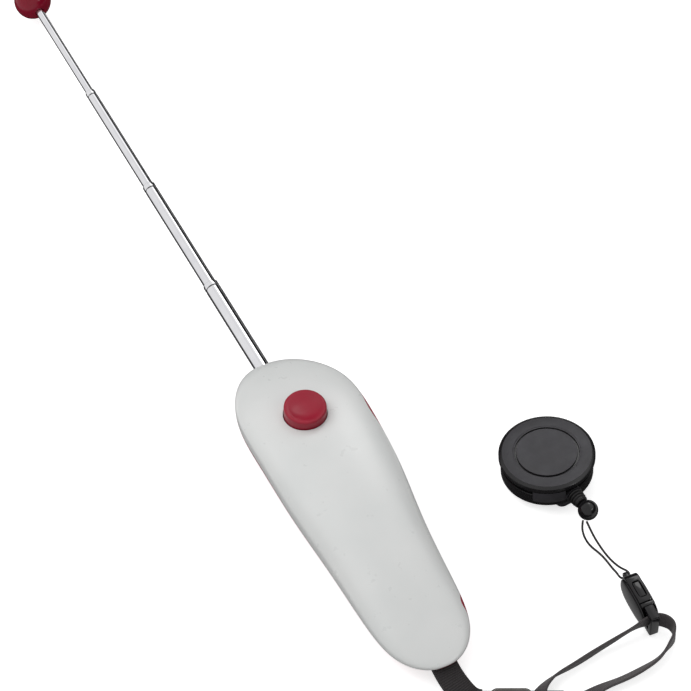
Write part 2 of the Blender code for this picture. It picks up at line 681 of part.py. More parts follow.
def make_rod(chrome, brass, red, rubber):
    """Guide tube, the drawn tubes with their stops, and the ball."""
    guide_bore, guide_outer = guide_radii()
    mouth = TUBE_RADII[0] + SLIDE_GAP
    profile = section_profile(guide_outer, guide_bore, mouth, GUIDE_FRONT_Y - guide_rear_y())
    on_rod(turned("guide_tube", profile, chrome, ROD_SIDES), GUIDE_FRONT_Y)
    spigot = guide_bore - SEAT_GAP / 2
    cap = [
        (0.0, CAP_SPIGOT), (spigot, CAP_SPIGOT), (spigot, -SEAT_GAP), (guide_outer, -SEAT_GAP),
        (guide_outer, -SEAT_GAP - CAP_THICKNESS), (0.0, -SEAT_GAP - CAP_THICKNESS),
    ]
    on_rod(turned("guide_end_cap", cap, rubber, ROD_SIDES), guide_rear_y())
    mouths = (*TUBE_MOUTHS_Y, BALL_Y - BALL_RADIUS + BALL_SOCKET_DEPTH - SEAT_GAP)
    outer_bore = guide_bore
    for index, (radius, length, mouth_y) in enumerate(zip(TUBE_RADII, TUBE_LENGTHS, mouths), 1):
        bore = radius - TUBE_WALL
        if index < len(TUBE_RADII):
            profile = section_profile(radius, bore, TUBE_RADII[index] + SLIDE_GAP, length)
        else:
            profile = plain_profile(radius, bore, length)
        on_rod(turned(f"rod_tube_{index}", profile, chrome, ROD_SIDES), mouth_y)
        profile = stop_profile(outer_bore - SLIDE_GAP, bore - SLIDE_GAP)
        on_rod(turned(f"rod_stop_{index}", profile, brass, ROD_SIDES), mouth_y - length - SLIDE_GAP)
        outer_bore = bore
    make_ball(red)


def make_ball(red):
    """Target ball: an arc spun round the rod's axis, with the rod's socket in its rear pole."""
    socket = TUBE_RADII[-1] + SEAT_GAP / 2
    start = math.asin(socket / BALL_RADIUS)
    floor = -BALL_RADIUS + BALL_SOCKET_DEPTH
    profile = [(0.0, floor), (socket, floor), *half_circle(BALL_RADIUS, start, 12)]
    on_rod(turned("target_ball", profile, red, BALL_SIDES), BALL_Y)


def make_button(red, steel, plastic):
    """Dished button with a retaining flange, the snap leaf under it and the bridge that carries the leaf."""
    rim = BUTTON_RADIUS
    stem_end = LEAF_CROWN_Z + SEAT_GAP
    profile = [
        (0.0, BUTTON_RIM_Z - BUTTON_DISH), (rim * 0.45, BUTTON_RIM_Z - BUTTON_DISH * 0.82),
        (rim * 0.72, BUTTON_RIM_Z - BUTTON_DISH * 0.4), (rim * 0.84, BUTTON_RIM_Z - BUTTON_DISH * 0.05),
        (rim * 0.92, BUTTON_RIM_Z), (rim * 0.98, BUTTON_RIM_Z - BUTTON_DISH * 0.35),
        (rim, BUTTON_RIM_Z - BUTTON_DISH), (rim, FLANGE_TOP_Z), (FLANGE_RADIUS, FLANGE_TOP_Z),
        (FLANGE_RADIUS, FLANGE_TOP_Z - FLANGE_THICKNESS), (STEM_RADIUS, FLANGE_TOP_Z - FLANGE_THICKNESS),
        (STEM_RADIUS, stem_end), (0.0, stem_end),
    ]
    button = turned("clicker_button", [(r, z - BUTTON_RIM_Z) for r, z in profile], red, BUTTON_SIDES)
    button.location = (0.0, BUTTON_Y, BUTTON_RIM_Z)
    make_leaf(steel)
    make_bridge(plastic)


def make_leaf(steel):
    """Spring-steel strip bowed up along its length, with bent-down side edges at its crown."""
    bm = bmesh.new()
    rings = []
    for share in np.linspace(-1, 1, 11):
        y = BUTTON_Y + share * LEAF_LENGTH / 2
        top = LEAF_CROWN_Z - LEAF_RISE * share * share
        ring = []
        for x in (-1.0, -0.5, 0.0, 0.5, 1.0):
            ring.append((x * LEAF_WIDTH / 2, y, top - LEAF_THICKNESS * x * x * (1 - share * share)))
        lower = [(x, y, z - LEAF_THICKNESS) for x, y, z in reversed(ring)]
        rings.append(ring + lower)
    add_loft(bm, rings)
    finish_mesh("clicker_leaf", bm, steel)


def make_bridge(plastic):
    """Table over the guide tube, on two legs, with a lip at each end that keeps the leaf in place."""
    top = LEAF_CROWN_Z - LEAF_RISE - LEAF_THICKNESS - SEAT_GAP
    low = top - BRIDGE_THICKNESS
    half = BRIDGE_LENGTH / 2
    bm = bmesh.new()
    add_box(bm, (-BRIDGE_HALF_WIDTH, BUTTON_Y - half, low), (BRIDGE_HALF_WIDTH, BUTTON_Y + half, top))
    bridge = finish_mesh("clicker_bridge", bm, plastic, smooth=False)
    bm = bmesh.new()
    foot = BRIDGE_SEAT_Z + SEAT_GAP
    for side in (-1, 1):
        x0, x1 = bridge_leg_span(side)
        add_box(bm, (x0, BUTTON_Y - half, foot), (x1, BUTTON_Y + half, low + BRIDGE_THICKNESS / 2))
        inner = LEAF_LENGTH / 2 + SEAT_GAP
        y0, y1 = sorted((BUTTON_Y + side * inner, BUTTON_Y + side * half))
        x1 = LEAF_WIDTH / 2
        add_box(bm, (-x1, y0, top - BRIDGE_THICKNESS / 2), (x1, y1, top + BRIDGE_LIP))
    combine(bridge, "UNION", helper("bridge_legs", bm))
    bm = bmesh.new()
    arch = BRIDGE_ARCH / 2
    add_box(bm, (-FAR, BUTTON_Y - arch, 0), (FAR, BUTTON_Y + arch, low - BRIDGE_THICKNESS))
    combine(bridge, "DIFFERENCE", helper("bridge_arch", bm))


def smooth_route(route, spacing):
    """Points every spacing along a smooth curve through a route given in millimetres."""
    points = np.array(route, float) * MM
    chord = np.concatenate([[0.0], np.cumsum(np.linalg.norm(np.diff(points, axis=0), axis=1))])
    fine = np.linspace(0, chord[-1], 60 * len(points))
    curve = np.stack([spline(chord, points[:, k], fine) for k in range(3)], axis=1)
    length = np.concatenate([[0.0], np.cumsum(np.linalg.norm(np.diff(curve, axis=0), axis=1))])
    at = np.linspace(0, length[-1], max(2, round(length[-1] / spacing)) + 1)
    spaced = np.stack([np.interp(at, length, curve[:, k]) for k in range(3)], axis=1)
    return spaced, np.interp(at, length, fine), chord


def ribbon_rings(route, turns, width, thickness, spacing):
    """Cross sections of a flat band along a route; turns give its face's angle from flat, in degrees."""
    points, place, chord = smooth_route(route, spacing)
    angles = np.radians(spline(chord, turns, place))
    heading = np.gradient(points, axis=0)
    heading /= np.linalg.norm(heading, axis=1)[:, None]
    corners = ((-1, -1), (1, -1), (1, 1), (-1, 1))
    rings = []
    for point, along, angle in zip(points, heading, angles):
        across = Vector(np.cross(along, (0.0, 0.0, 1.0))).normalized()
        up = across.cross(Vector(along))
        wide = across * math.cos(angle) + up * math.sin(angle)
        half_wide = wide * (width / 2)
        half_thick = wide.cross(Vector(along)) * (thickness / 2)
        rings.append([tuple(Vector(point) + half_wide * a + half_thick * b) for a, b in corners])
    return rings


def make_webbing(webbing, steel):
    """Doubled webbing looped round the strap pin, out of the tail slot and down to the ring's fold."""
    bm = bmesh.new()
    flat = [0] * len(WEBBING_ROUTE)
    add_loft(bm, ribbon_rings(WEBBING_ROUTE, flat, WEBBING_WIDTH, WEBBING_THICKNESS, BAND_STEP))
    strap = finish_mesh("tail_webbing", bm, webbing, smooth=False)
    half = WEBBING_WIDTH / 2
    bore = PIN_RADIUS + SEAT_GAP
    bm = bmesh.new()
    start, end = (-half, PIN_Y, TAIL_WAIST_Z), (half, PIN_Y, TAIL_WAIST_Z)
    add_cylinder(bm, bore + WEBBING_THICKNESS / 2, start, end, AXLE_SIDES)
    combine(strap, "UNION", helper("webbing_eye", bm))
    bm = bmesh.new()
    reach = half + OVERRUN
    add_cylinder(bm, bore, (-reach, PIN_Y, TAIL_WAIST_Z), (reach, PIN_Y, TAIL_WAIST_Z), AXLE_SIDES)
    combine(strap, "DIFFERENCE", helper("webbing_bore", bm))
    bm = bmesh.new()
    reach = EAR_X + EAR_THICKNESS / 2
    add_cylinder(bm, PIN_RADIUS, (-reach, PIN_Y, TAIL_WAIST_Z), (reach, PIN_Y, TAIL_WAIST_Z), AXLE_SIDES)
    finish_mesh("strap_pin", bm, steel)


def make_ring_and_folds(steel, webbing):
    """Wire ring, and the sewn folds that hold its two short bars."""
    place = place_at("ring_place", RING_CENTRE, RING_YAW)
    curve = bpy.data.curves.new("wire_ring", "CURVE")
    curve.dimensions = "3D"
    curve.bevel_depth = RING_WIRE_RADIUS
    curve.bevel_resolution = 2
    outline = []
    for sign_x, sign_y, first in ((1, 1, 0), (-1, 1, 90), (-1, -1, 180), (1, -1, 270)):
        centre_x = sign_x * (RING_LENGTH / 2 - RING_CORNER)
        centre_y = sign_y * (RING_WIDTH / 2 - RING_CORNER)
        for angle in np.radians((first, first + 30, first + 60, first + 90)):
            x = centre_x + RING_CORNER * math.cos(angle)
            y = centre_y + RING_CORNER * math.sin(angle)
            outline.append((x, y))
    path = curve.splines.new("POLY")
    path.points.add(len(outline) - 1)
    for point, (x, y) in zip(path.points, outline):
        point.co = (x, y, 0.0, 1.0)
    path.use_cyclic_u = True
    curve.materials.append(steel)
    ring = bpy.data.objects.new("wire_ring", curve)
    ring.parent = place
    bpy.context.scene.collection.objects.link(ring)
    folds = (("webbing_fold", -1, WEBBING_FOLD_LENGTH), ("strap_fold", 1, STRAP_FOLD_LENGTH))
    for name, side, length in folds:
        bar = side * RING_LENGTH / 2
        nose = FOLD_HEIGHT / 2
        x0, x1 = sorted((bar - side * nose, bar + side * (length - nose)))
        bm = bmesh.new()
        add_box(bm, (x0, -FOLD_WIDTH / 2, -FOLD_HEIGHT / 2), (x1, FOLD_WIDTH / 2, FOLD_HEIGHT / 2))
        fold = bevelled(finish_mesh(name, bm, webbing, place, smooth=False), FOLD_ROUNDING)
        bm = bmesh.new()
        bore = RING_WIRE_RADIUS + SEAT_GAP
        add_cylinder(bm, bore, (bar, -FOLD_WIDTH, 0), (bar, FOLD_WIDTH, 0), BORE_SIDES)
        combine(fold, "DIFFERENCE", helper(name + "_bore", bm, place))


def make_narrow_strap(webbing):
    """Flat strap from the fold through the clasp's slot and back, turned on edge where it passes the slot."""
    bm = bmesh.new()
    add_loft(bm, ribbon_rings(STRAP_ROUTE, STRAP_TURNS, STRAP_WIDTH, STRAP_THICKNESS, BAND_STEP))
    finish_mesh("narrow_strap", bm, webbing, smooth=False)


def make_clasp(plastic):
    """Side-release clasp: a socket with two windows and a cord eye, and a tongue with two prongs."""
    place = place_at("clasp_place", CLASP_PLACE, CLASP_YAW)
    make_clasp_socket(plastic, place)
    make_clasp_tongue(plastic, place)


def make_clasp_socket(plastic, place):
    half_w, half_t = CLASP_WIDTH / 2, CLASP_THICKNESS / 2
    bm = bmesh.new()
    corner = half_w * 0.55
    arc = [(corner * math.sin(a), corner * math.cos(a)) for a in np.radians((0, 30, 60, 90))]
    top = [(SOCKET_LENGTH - corner + y, half_w - corner + z) for y, z in arc]
    outline = [(0.0, -half_w), (0.0, half_w), *top, *[(y, -z) for y, z in reversed(top)]]
    rings = [[(x, y, z) for y, z in outline] for x in (-half_t, half_t)]
    add_loft(bm, rings)
    socket = bevelled(finish_mesh("clasp_socket", bm, plastic, place, smooth=False), SOCKET_ROUNDING, 50)
    bm = bmesh.new()
    inner_w, inner_t = half_w - SOCKET_WALL, half_t - SOCKET_WALL
    add_box(bm, (-inner_t, -OVERRUN, -inner_w), (inner_t, SOCKET_LENGTH - SOCKET_END_WALL, inner_w))
    combine(socket, "DIFFERENCE", helper("socket_hollow", bm, place))
    bm = bmesh.new()
    for side in (-1, 1):
        z0, z1 = sorted((side * (inner_w - SOCKET_WALL / 2), side * (half_w + OVERRUN)))
        half, end = WINDOW_WIDTH / 2, WINDOW_START + WINDOW_LENGTH
        add_box(bm, (-half, WINDOW_START, z0), (half, end, z1))
    combine(socket, "DIFFERENCE", helper("socket_windows", bm, place))
    bm = bmesh.new()
    tab, root, tip = EYE_THICKNESS / 2, SOCKET_LENGTH - SOCKET_END_WALL / 2, SOCKET_LENGTH + EYE_LENGTH
    add_box(bm, (-tab, root, -EYE_HEIGHT / 2), (tab, tip, EYE_HEIGHT / 2))
    combine(socket, "UNION", helper("socket_eye", bm, place))
    bm = bmesh.new()
    y = tip - EYE_MARGIN - EYE_BORE
    add_cylinder(bm, EYE_BORE, (-EYE_THICKNESS, y, 0), (EYE_THICKNESS, y, 0), BORE_SIDES)
    combine(socket, "DIFFERENCE", helper("socket_eye_bore", bm, place))


def make_clasp_tongue(plastic, place):
    half_w, half_t = CLASP_WIDTH / 2, CLASP_THICKNESS / 2
    mouth = -SEAT_GAP
    back = mouth - TONGUE_FLANGE
    bm = bmesh.new()
    add_box(bm, (-half_t, back, -half_w), (half_t, mouth, half_w))
    tongue = bevelled(finish_mesh("clasp_tongue", bm, plastic, place, smooth=False), TONGUE_ROUNDING)
    bm = bmesh.new()
    plate, edge = TONGUE_THICKNESS / 2, half_w - TONGUE_SHOULDER
    add_box(bm, (-plate, back - TONGUE_TAIL, -edge), (plate, back + TONGUE_FLANGE / 2, edge))
    combine(tongue, "UNION", helper("tongue_tail", bm, place))
    bm = bmesh.new()
    reach = half_w - SOCKET_WALL - SEAT_GAP
    for side in (-1, 1):
        rings = []
        for share, bulge in ((-0.06, 0.0), (0.35, 0.0), (0.6, 0.6), (0.82, 1.0), (0.93, 0.75), (1.0, 0.0)):
            y = mouth + share * PRONG_LENGTH
            outer = side * (reach - PRONG_BULGE * (1 - bulge))
            inner = outer - side * PRONG_THICKNESS
            half = PRONG_WIDTH / 2
            rings.append([(-half, y, inner), (half, y, inner), (half, y, outer), (-half, y, outer)])
        add_loft(bm, rings)
    half, core = CORE_THICKNESS / 2, CORE_HEIGHT / 2
    add_box(bm, (-half, mouth - TONGUE_FLANGE / 2, -core), (half, mouth + CORE_LENGTH, core))
    combine(tongue, "UNION", helper("tongue_prongs", bm, place))
    bm = bmesh.new()
    end, half = back - SLOT_START, SLOT_HEIGHT / 2
    add_box(bm, (-TONGUE_THICKNESS, end - SLOT_LENGTH, -half), (TONGUE_THICKNESS, end, half))
    combine(tongue, "DIFFERENCE", helper("tongue_slot", bm, place))


def make_cord_loop(cord):
    points, _, _ = smooth_route(CORD_ROUTE, BAND_STEP)
    curve = bpy.data.curves.new("cord_loop", "CURVE")
    curve.dimensions = "3D"
    curve.bevel_depth = CORD_DIAMETER / 2
    curve.bevel_resolution = 2
    curve.use_fill_caps = True
    path = curve.splines.new("POLY")
    path.points.add(len(points) - 1)
    for point, place in zip(path.points, points):
        point.co = (*place, 1.0)
    curve.materials.append(cord)
    obj = bpy.data.objects.new("cord_loop", curve)
    bpy.context.scene.collection.objects.link(obj)


def reel_cover_profile():
    bottom = CASE_HEIGHT + SEAT_GAP
    top = bottom + COVER_THICKNESS
    skirt = CASE_RADIUS - BAND_DEPTH - CASE_WALL - SEAT_GAP
    groove = DISC_RADIUS + DISC_GROOVE_WIDTH
    return [
        (0.0, top), (DISC_RADIUS, top), (DISC_RADIUS, top - DISC_GROOVE_DEPTH),
        (groove, top - DISC_GROOVE_DEPTH), (groove, top), (COVER_RADIUS - COVER_CHAMFER, top),
        (COVER_RADIUS, top - COVER_CHAMFER),
        (COVER_RADIUS, bottom), (skirt, bottom), (skirt, bottom - COVER_SKIRT),
        (skirt - CASE_WALL, bottom - COVER_SKIRT), (skirt - CASE_WALL, bottom), (0.0, bottom),
    ]


def make_reel_case(plastic, place):
    """Case: a round tub stepped in under the cover, a flush block at the cord mouth, and two clip lugs."""
    band = CASE_RADIUS - BAND_DEPTH
    inner = band - CASE_WALL
    hole = AXLE_RADIUS + SEAT_GAP
    step = CASE_HEIGHT - BAND_HEIGHT
    profile = [
        (hole, 0.0), (CASE_RADIUS - COVER_CHAMFER, 0.0), (CASE_RADIUS, COVER_CHAMFER), (CASE_RADIUS, step),
        (band, step), (band, CASE_HEIGHT), (inner, CASE_HEIGHT), (inner, CASE_FLOOR), (hole, CASE_FLOOR),
    ]
    case = turned("reel_case", profile, plastic, REEL_SIDES, place)
    bm = bmesh.new()
    front = -(COVER_RADIUS - BLOCK_INSET)
    head = CASE_HEIGHT - BLOCK_HEAD_GAP
    add_box(bm, (-BLOCK_HALF_WIDTH, front, BLOCK_FOOT_Z), (BLOCK_HALF_WIDTH, -inner - CASE_WALL / 8, head))
    ear = CLIP_HALF_WIDTH + SEAT_GAP
    for side in (-1, 1):
        x0, x1 = sorted((side * ear, side * (ear + LUG_THICKNESS)))
        y0 = CLIP_PIVOT_Y - LUG_LENGTH / 2
        add_box(bm, (x0, y0, CLIP_PIVOT_Z - LUG_DROP), (x1, y0 + LUG_LENGTH, LUG_ROOT))
    combine(case, "UNION", helper("case_additions", bm, place))
    bm = bmesh.new()
    outside, inside = (0, front - OVERRUN, MOUTH_Z), (0, -inner + CASE_WALL, MOUTH_Z)
    add_cylinder(bm, MOUTH_RADIUS, outside, inside, BORE_SIDES)
    reach = ear + LUG_THICKNESS + OVERRUN
    pin = CLIP_PIN_RADIUS + SLIDE_GAP
    left, right = (-reach, CLIP_PIVOT_Y, CLIP_PIVOT_Z), (reach, CLIP_PIVOT_Y, CLIP_PIVOT_Z)
    add_cylinder(bm, pin, left, right, BORE_SIDES)
    combine(case, "DIFFERENCE", helper("case_openings", bm, place))


def make_reel(plastic, gloss, steel, cord):
    """Belt reel: cover, case, axle, spool with its wound cord, strip spring, boot, bead and clip."""
    place = place_at("reel_place", REEL_PLACE, REEL_YAW, REEL_TILT)
    turned("reel_cover", reel_cover_profile(), plastic, REEL_SIDES, place)
    make_reel_case(plastic, place)
    head_top = -SEAT_GAP
    axle = [
        (0.0, CASE_HEIGHT), (AXLE_RADIUS, CASE_HEIGHT), (AXLE_RADIUS, head_top),
        (AXLE_HEAD_RADIUS, head_top), (AXLE_HEAD_RADIUS, head_top - AXLE_HEAD_HEIGHT),
        (0.0, head_top - AXLE_HEAD_HEIGHT),
    ]
    turned("reel_axle", axle, steel, AXLE_SIDES, place)
    low = CASE_FLOOR + SEAT_GAP
    high = low + SPOOL_HEIGHT
    bore = AXLE_RADIUS + SEAT_GAP
    spool = [
        (bore, low), (SPOOL_RADIUS, low), (SPOOL_RADIUS, low + SPOOL_FLANGE),
        (SPOOL_CORE_RADIUS, low + SPOOL_FLANGE),
        (SPOOL_CORE_RADIUS, high - SPOOL_FLANGE), (SPOOL_RADIUS, high - SPOOL_FLANGE), (SPOOL_RADIUS, high),
        (SPOOL_CUP_RADIUS, high), (SPOOL_CUP_RADIUS, low + SPOOL_FLANGE), (bore, low + SPOOL_FLANGE),
    ]
    turned("reel_spool", spool, plastic, SPOOL_SIDES, place)
    wound_low, wound_high = low + SPOOL_FLANGE + SEAT_GAP, high - SPOOL_FLANGE - SEAT_GAP
    core = SPOOL_CORE_RADIUS + SEAT_GAP
    wound = [(core, wound_low), (WOUND_RADIUS, wound_low), (WOUND_RADIUS, wound_high), (core, wound_high)]
    turned("wound_cord", wound, cord, SPOOL_SIDES, place)
    make_strip_spring(steel, place, low + SPOOL_FLANGE + SEAT_GAP, high - SEAT_GAP)
    make_boot_and_bead(plastic, gloss, place)
    make_belt_clip(plastic, steel, place)


def make_strip_spring(steel, place, low, high):
    """Flat spiral of spring strip between the axle and the spool's cup."""
    inner, outer = AXLE_RADIUS + SEAT_GAP, SPOOL_CUP_RADIUS - SEAT_GAP - SPRING_STRIP
    angles = np.linspace(0, 2 * math.pi * SPRING_TURNS, 10 * SPRING_TURNS + 1)
    rings = []
    for angle in angles:
        radius = inner + (outer - inner) * angle / angles[-1]
        near = (radius * math.cos(angle), radius * math.sin(angle))
        reach = radius + SPRING_STRIP
        far = (reach * math.cos(angle), reach * math.sin(angle))
        rings.append([(*near, low), (*far, low), (*far, high), (*near, high)])
    bm = bmesh.new()
    add_loft(bm, rings)
    finish_mesh("reel_spring", bm, steel, place, smooth=False)


def make_boot_and_bead(plastic, gloss, place):
    """Ribbed boot out of the cord mouth, and the stop bead at its end."""
    start = SEAT_GAP
    profile = [(0.0, -BOOT_SPIGOT_LENGTH), (BOOT_SPIGOT, -BOOT_SPIGOT_LENGTH), (BOOT_SPIGOT, start)]
    for index, rib in enumerate(BOOT_RIB_RADII):
        at = start + index * BOOT_PITCH
        profile += [(rib, at), (rib, at + BOOT_PITCH * 0.55), (BOOT_VALLEY_RADIUS, at + BOOT_PITCH * 0.75)]
    end = start + len(BOOT_RIB_RADII) * BOOT_PITCH
    profile += [(BOOT_VALLEY_RADIUS * 0.8, end), (0.0, end)]
    at_mouth = Matrix.Translation((0, BLOCK_INSET - COVER_RADIUS, MOUTH_Z))
    at_mouth = at_mouth @ Matrix.Rotation(math.pi / 2, 4, "X")
    turned("reel_boot", profile, plastic, AXLE_SIDES, place, at_mouth)
    sphere = half_circle(BEAD_RADIUS, BEAD_FLAT_ANGLE, 10)
    flat = sphere[0][1]
    at_bead = at_mouth @ Matrix.Translation((0, 0, end + SEAT_GAP - flat))
    turned("stop_bead", [(0.0, flat), *sphere], gloss, AXLE_SIDES, place, at_bead)


def make_belt_clip(plastic, steel, place):
    """Sprung clip lever on the back, its flared free end towards the cord mouth."""
    pivot = place_at("clip_pivot", (0.0, CLIP_PIVOT_Y, CLIP_PIVOT_Z))
    pivot.parent = place
    tooth = -CLIP_PIVOT_Z - SEAT_GAP
    side = [
        (CLIP_THUMB, 0.0), (CLIP_THUMB, -CLIP_THICKNESS), (-CLIP_REACH + CLIP_BEND, -CLIP_THICKNESS),
        (-CLIP_REACH + CLIP_LIP, -CLIP_THICKNESS - CLIP_FLARE), (-CLIP_REACH, -CLIP_THICKNESS - CLIP_FLARE),
        (-CLIP_REACH, -CLIP_FLARE), (-CLIP_REACH + CLIP_TOOTH * 0.5, tooth),
        (-CLIP_REACH + CLIP_TOOTH, tooth), (-CLIP_REACH + CLIP_TOOTH * 1.8, 0.0),
    ]
    bm = bmesh.new()
    add_loft(bm, [[(x, y, z) for y, z in side] for x in (-CLIP_HALF_WIDTH, CLIP_HALF_WIDTH)])
    lever = finish_mesh("belt_clip", bm, plastic, pivot, smooth=False)
    bm = bmesh.new()
    coil_half = CLIP_COIL_TURNS * CLIP_COIL_WIRE * 1.6 + 2 * CLIP_COIL_WIRE
    for sign in (-1, 1):
        x0, x1 = sign * (coil_half + SEAT_GAP), sign * CLIP_HALF_WIDTH
        add_cylinder(bm, CLIP_HUB_RADIUS, (x0, 0, 0), (x1, 0, 0), BORE_SIDES)
    combine(lever, "UNION", helper("clip_hubs", bm, pivot))
    bm = bmesh.new()
    reach = CLIP_HALF_WIDTH + OVERRUN
    add_cylinder(bm, CLIP_PIN_RADIUS + SLIDE_GAP, (-reach, 0, 0), (reach, 0, 0), BORE_SIDES)
    combine(lever, "DIFFERENCE", helper("clip_bore", bm, pivot))
    bm = bmesh.new()
    gap = CLIP_COIL_RADIUS + CLIP_COIL_WIRE + SEAT_GAP
    add_box(bm, (-coil_half, -gap, -gap), (coil_half, gap, gap))
    combine(lever, "DIFFERENCE", helper("clip_pocket", bm, pivot))
    bm = bmesh.new()
    ends = CLIP_HALF_WIDTH + SEAT_GAP + LUG_THICKNESS
    add_cylinder(bm, CLIP_PIN_RADIUS, (-ends, 0, 0), (ends, 0, 0), BORE_SIDES)
    finish_mesh("clip_pin", bm, steel, pivot)
    make_clip_coil(steel, pivot, coil_half)


def make_clip_coil(steel, pivot, half):
    """Torsion coil round the clip's pin."""
    steps = 8 * CLIP_COIL_TURNS
    curve = bpy.data.curves.new("clip_spring", "CURVE")
    curve.dimensions = "3D"
    curve.bevel_depth = CLIP_COIL_WIRE
    curve.bevel_resolution = 1
    curve.use_fill_caps = True
    path = curve.splines.new("POLY")
    path.points.add(steps)
    run = 2 * (half - 2 * CLIP_COIL_WIRE)
    for index, point in enumerate(path.points):
        share = index / steps
        angle = 2 * math.pi * CLIP_COIL_TURNS * share
        place = (run * (share - 0.5), CLIP_COIL_RADIUS * math.cos(angle), CLIP_COIL_RADIUS * math.sin(angle))
        point.co = (*place, 1.0)
    curve.materials.append(steel)
    coil = bpy.data.objects.new("clip_spring", curve)
    coil.parent = pivot
    bpy.context.scene.collection.objects.link(coil)


def main():
    clear_scene()
    white = material("white_abs", (0.62, 0.64, 0.64), 0.18)
    red = material("red_abs", (0.27, 0.012, 0.03), 0.3)
    chrome = material("chromed_brass", (0.8, 0.8, 0.82), 0.08, 1.0)
    brass = material("brass", (0.72, 0.5, 0.2), 0.35, 1.0)
    steel = material("spring_steel", (0.5, 0.5, 0.52), 0.3, 1.0)
    natural = material("natural_plastic", (0.55, 0.53, 0.48), 0.5)
    black = material("black_abs", (0.03, 0.03, 0.034), 0.42)
    gloss = material("black_gloss", (0.012, 0.012, 0.013), 0.15)
    webbing = material("black_webbing", (0.02, 0.018, 0.02), 0.9)
    strap = material("grey_strap", (0.05, 0.047, 0.05), 0.85)
    rubber = material("black_rubber", (0.02, 0.02, 0.02), 0.7)
    cord = material("black_cord", (0.02, 0.02, 0.02), 0.75)
    make_top_shell(white)
    make_bottom_shell(red)
    make_screws(steel)
    make_rod(chrome, brass, red, rubber)
    make_button(red, steel, natural)
    make_webbing(webbing, steel)
    make_ring_and_folds(steel, webbing)
    make_narrow_strap(strap)
    make_clasp(gloss)
    make_cord_loop(cord)
    make_reel(black, gloss, steel, cord)


main()
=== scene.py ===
import math

import bmesh
import bpy
import numpy as np
from mathutils import Matrix, Vector


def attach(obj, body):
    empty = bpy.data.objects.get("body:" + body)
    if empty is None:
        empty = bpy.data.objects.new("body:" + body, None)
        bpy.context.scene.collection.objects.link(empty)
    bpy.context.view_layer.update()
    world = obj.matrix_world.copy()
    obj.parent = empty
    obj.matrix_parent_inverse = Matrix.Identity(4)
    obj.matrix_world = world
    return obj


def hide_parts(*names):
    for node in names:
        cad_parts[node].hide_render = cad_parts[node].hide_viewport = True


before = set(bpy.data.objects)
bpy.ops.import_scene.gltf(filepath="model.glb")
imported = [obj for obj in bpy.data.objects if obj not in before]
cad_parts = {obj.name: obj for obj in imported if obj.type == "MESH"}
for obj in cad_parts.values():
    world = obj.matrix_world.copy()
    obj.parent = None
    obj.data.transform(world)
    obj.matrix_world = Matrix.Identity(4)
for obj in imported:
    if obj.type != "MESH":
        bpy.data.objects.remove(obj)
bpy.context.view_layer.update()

MM = 0.001


# Camera

def set_camera():
    """The photograph's view: 27 degrees to the left of +Y, 52 degrees above the table, through a long lens."""
    azimuth, elevation = math.radians(-27.0), math.radians(52.0)
    distance, sensor = 1.2, 36.0
    focal_pixels, picture_pixels = 3600.0, 691.0
    target = Vector((0.03193, 0.068, 0.0))
    level = math.cos(elevation)
    forward = Vector((-math.sin(azimuth) * level, math.cos(azimuth) * level, -math.sin(elevation)))
    right = Vector((math.cos(azimuth), math.sin(azimuth), 0.0))
    up = right.cross(forward)
    data = bpy.data.cameras.new("camera")
    data.sensor_width = sensor
    data.lens = focal_pixels / picture_pixels * sensor
    data.clip_start = 0.05
    camera = bpy.data.objects.new("camera", data)
    axes = Matrix((right, up, -forward)).transposed().to_4x4()
    camera.matrix_world = Matrix.Translation(target - forward * distance) @ axes
    bpy.context.scene.collection.objects.link(camera)
    bpy.context.scene.camera = camera


set_camera()


# Sizes that the solids have

def shift(x, y, z):
    """A place in millimetres."""
    return Matrix.Translation((x * MM, y * MM, z * MM))


def turn(axis, angle):
    """A turn in degrees."""
    return Matrix.Rotation(math.radians(angle), 4, axis)


ROD_Z = 9.5 * MM
TAIL_Y, NOSE_Y = -64.0 * MM, 66.0 * MM
STATIONS = (0.08, 0.22, 0.38, 0.54, 0.70, 0.84, 0.94)
HALF_WIDTHS = np.array((13.4, 16.1, 17.3, 19.0, 19.5, 18.6, 12.8)) * MM
PALM_SWELLS = np.array((0.0, 0.0, 0.3, 1.2, 1.9, 1.9, 0.9)) * MM
WAISTS = np.array((8.9, 10.0, 12.4, 15.1, 16.7, 15.8, 12.9)) * MM
CROWNS = np.array((3.7, 7.5, 8.8, 7.9, 6.2, 5.0, 3.9)) * MM
BELLIES = np.array((5.4, 9.4, 12.9, 15.7, 17.2, 15.5, 9.6)) * MM
TAIL_WAIST_Z = 8.5 * MM
SHELL_WALL = 2.0 * MM
SCREWS = ((11.5, 44.0, 5.2, 11.2), (9.5, -38.0, 4.4, 7.2))
BUTTON_Y, BUTTON_RADIUS, BUTTON_RIM_Z = 33.75 * MM, 6.95 * MM, 26.2 * MM
PIN_Y = -50.5 * MM
FOLDS = {"webbing_fold": (-6.0, -10.3), "strap_fold": (6.0, 16.5)}
REEL = shift(65.6, -9.4, 3.25) @ turn("Z", 5.0) @ turn("X", -4.5)
REEL_MOUTH = REEL @ shift(0.0, -15.5, 3.4) @ turn("X", 90.0)
CLIP = REEL @ shift(0.0, 6.0, -1.4)
CLASP = shift(65.9, -72.3, 5.6) @ turn("Z", -3.5)
RING = shift(13.6, -81.0, 1.6) @ turn("Z", -26.8)
WEBBING_ROUTE = (
    (0.0, -57.0, 7.7), (0.0, -60.5, 6.3), (0.1, -64.5, 5.0), (0.5, -68.2, 3.9), (1.3, -71.6, 2.85),
    (2.55, -74.3, 1.95), (4.0, -75.95, 1.65), (5.0, -76.6, 1.6))
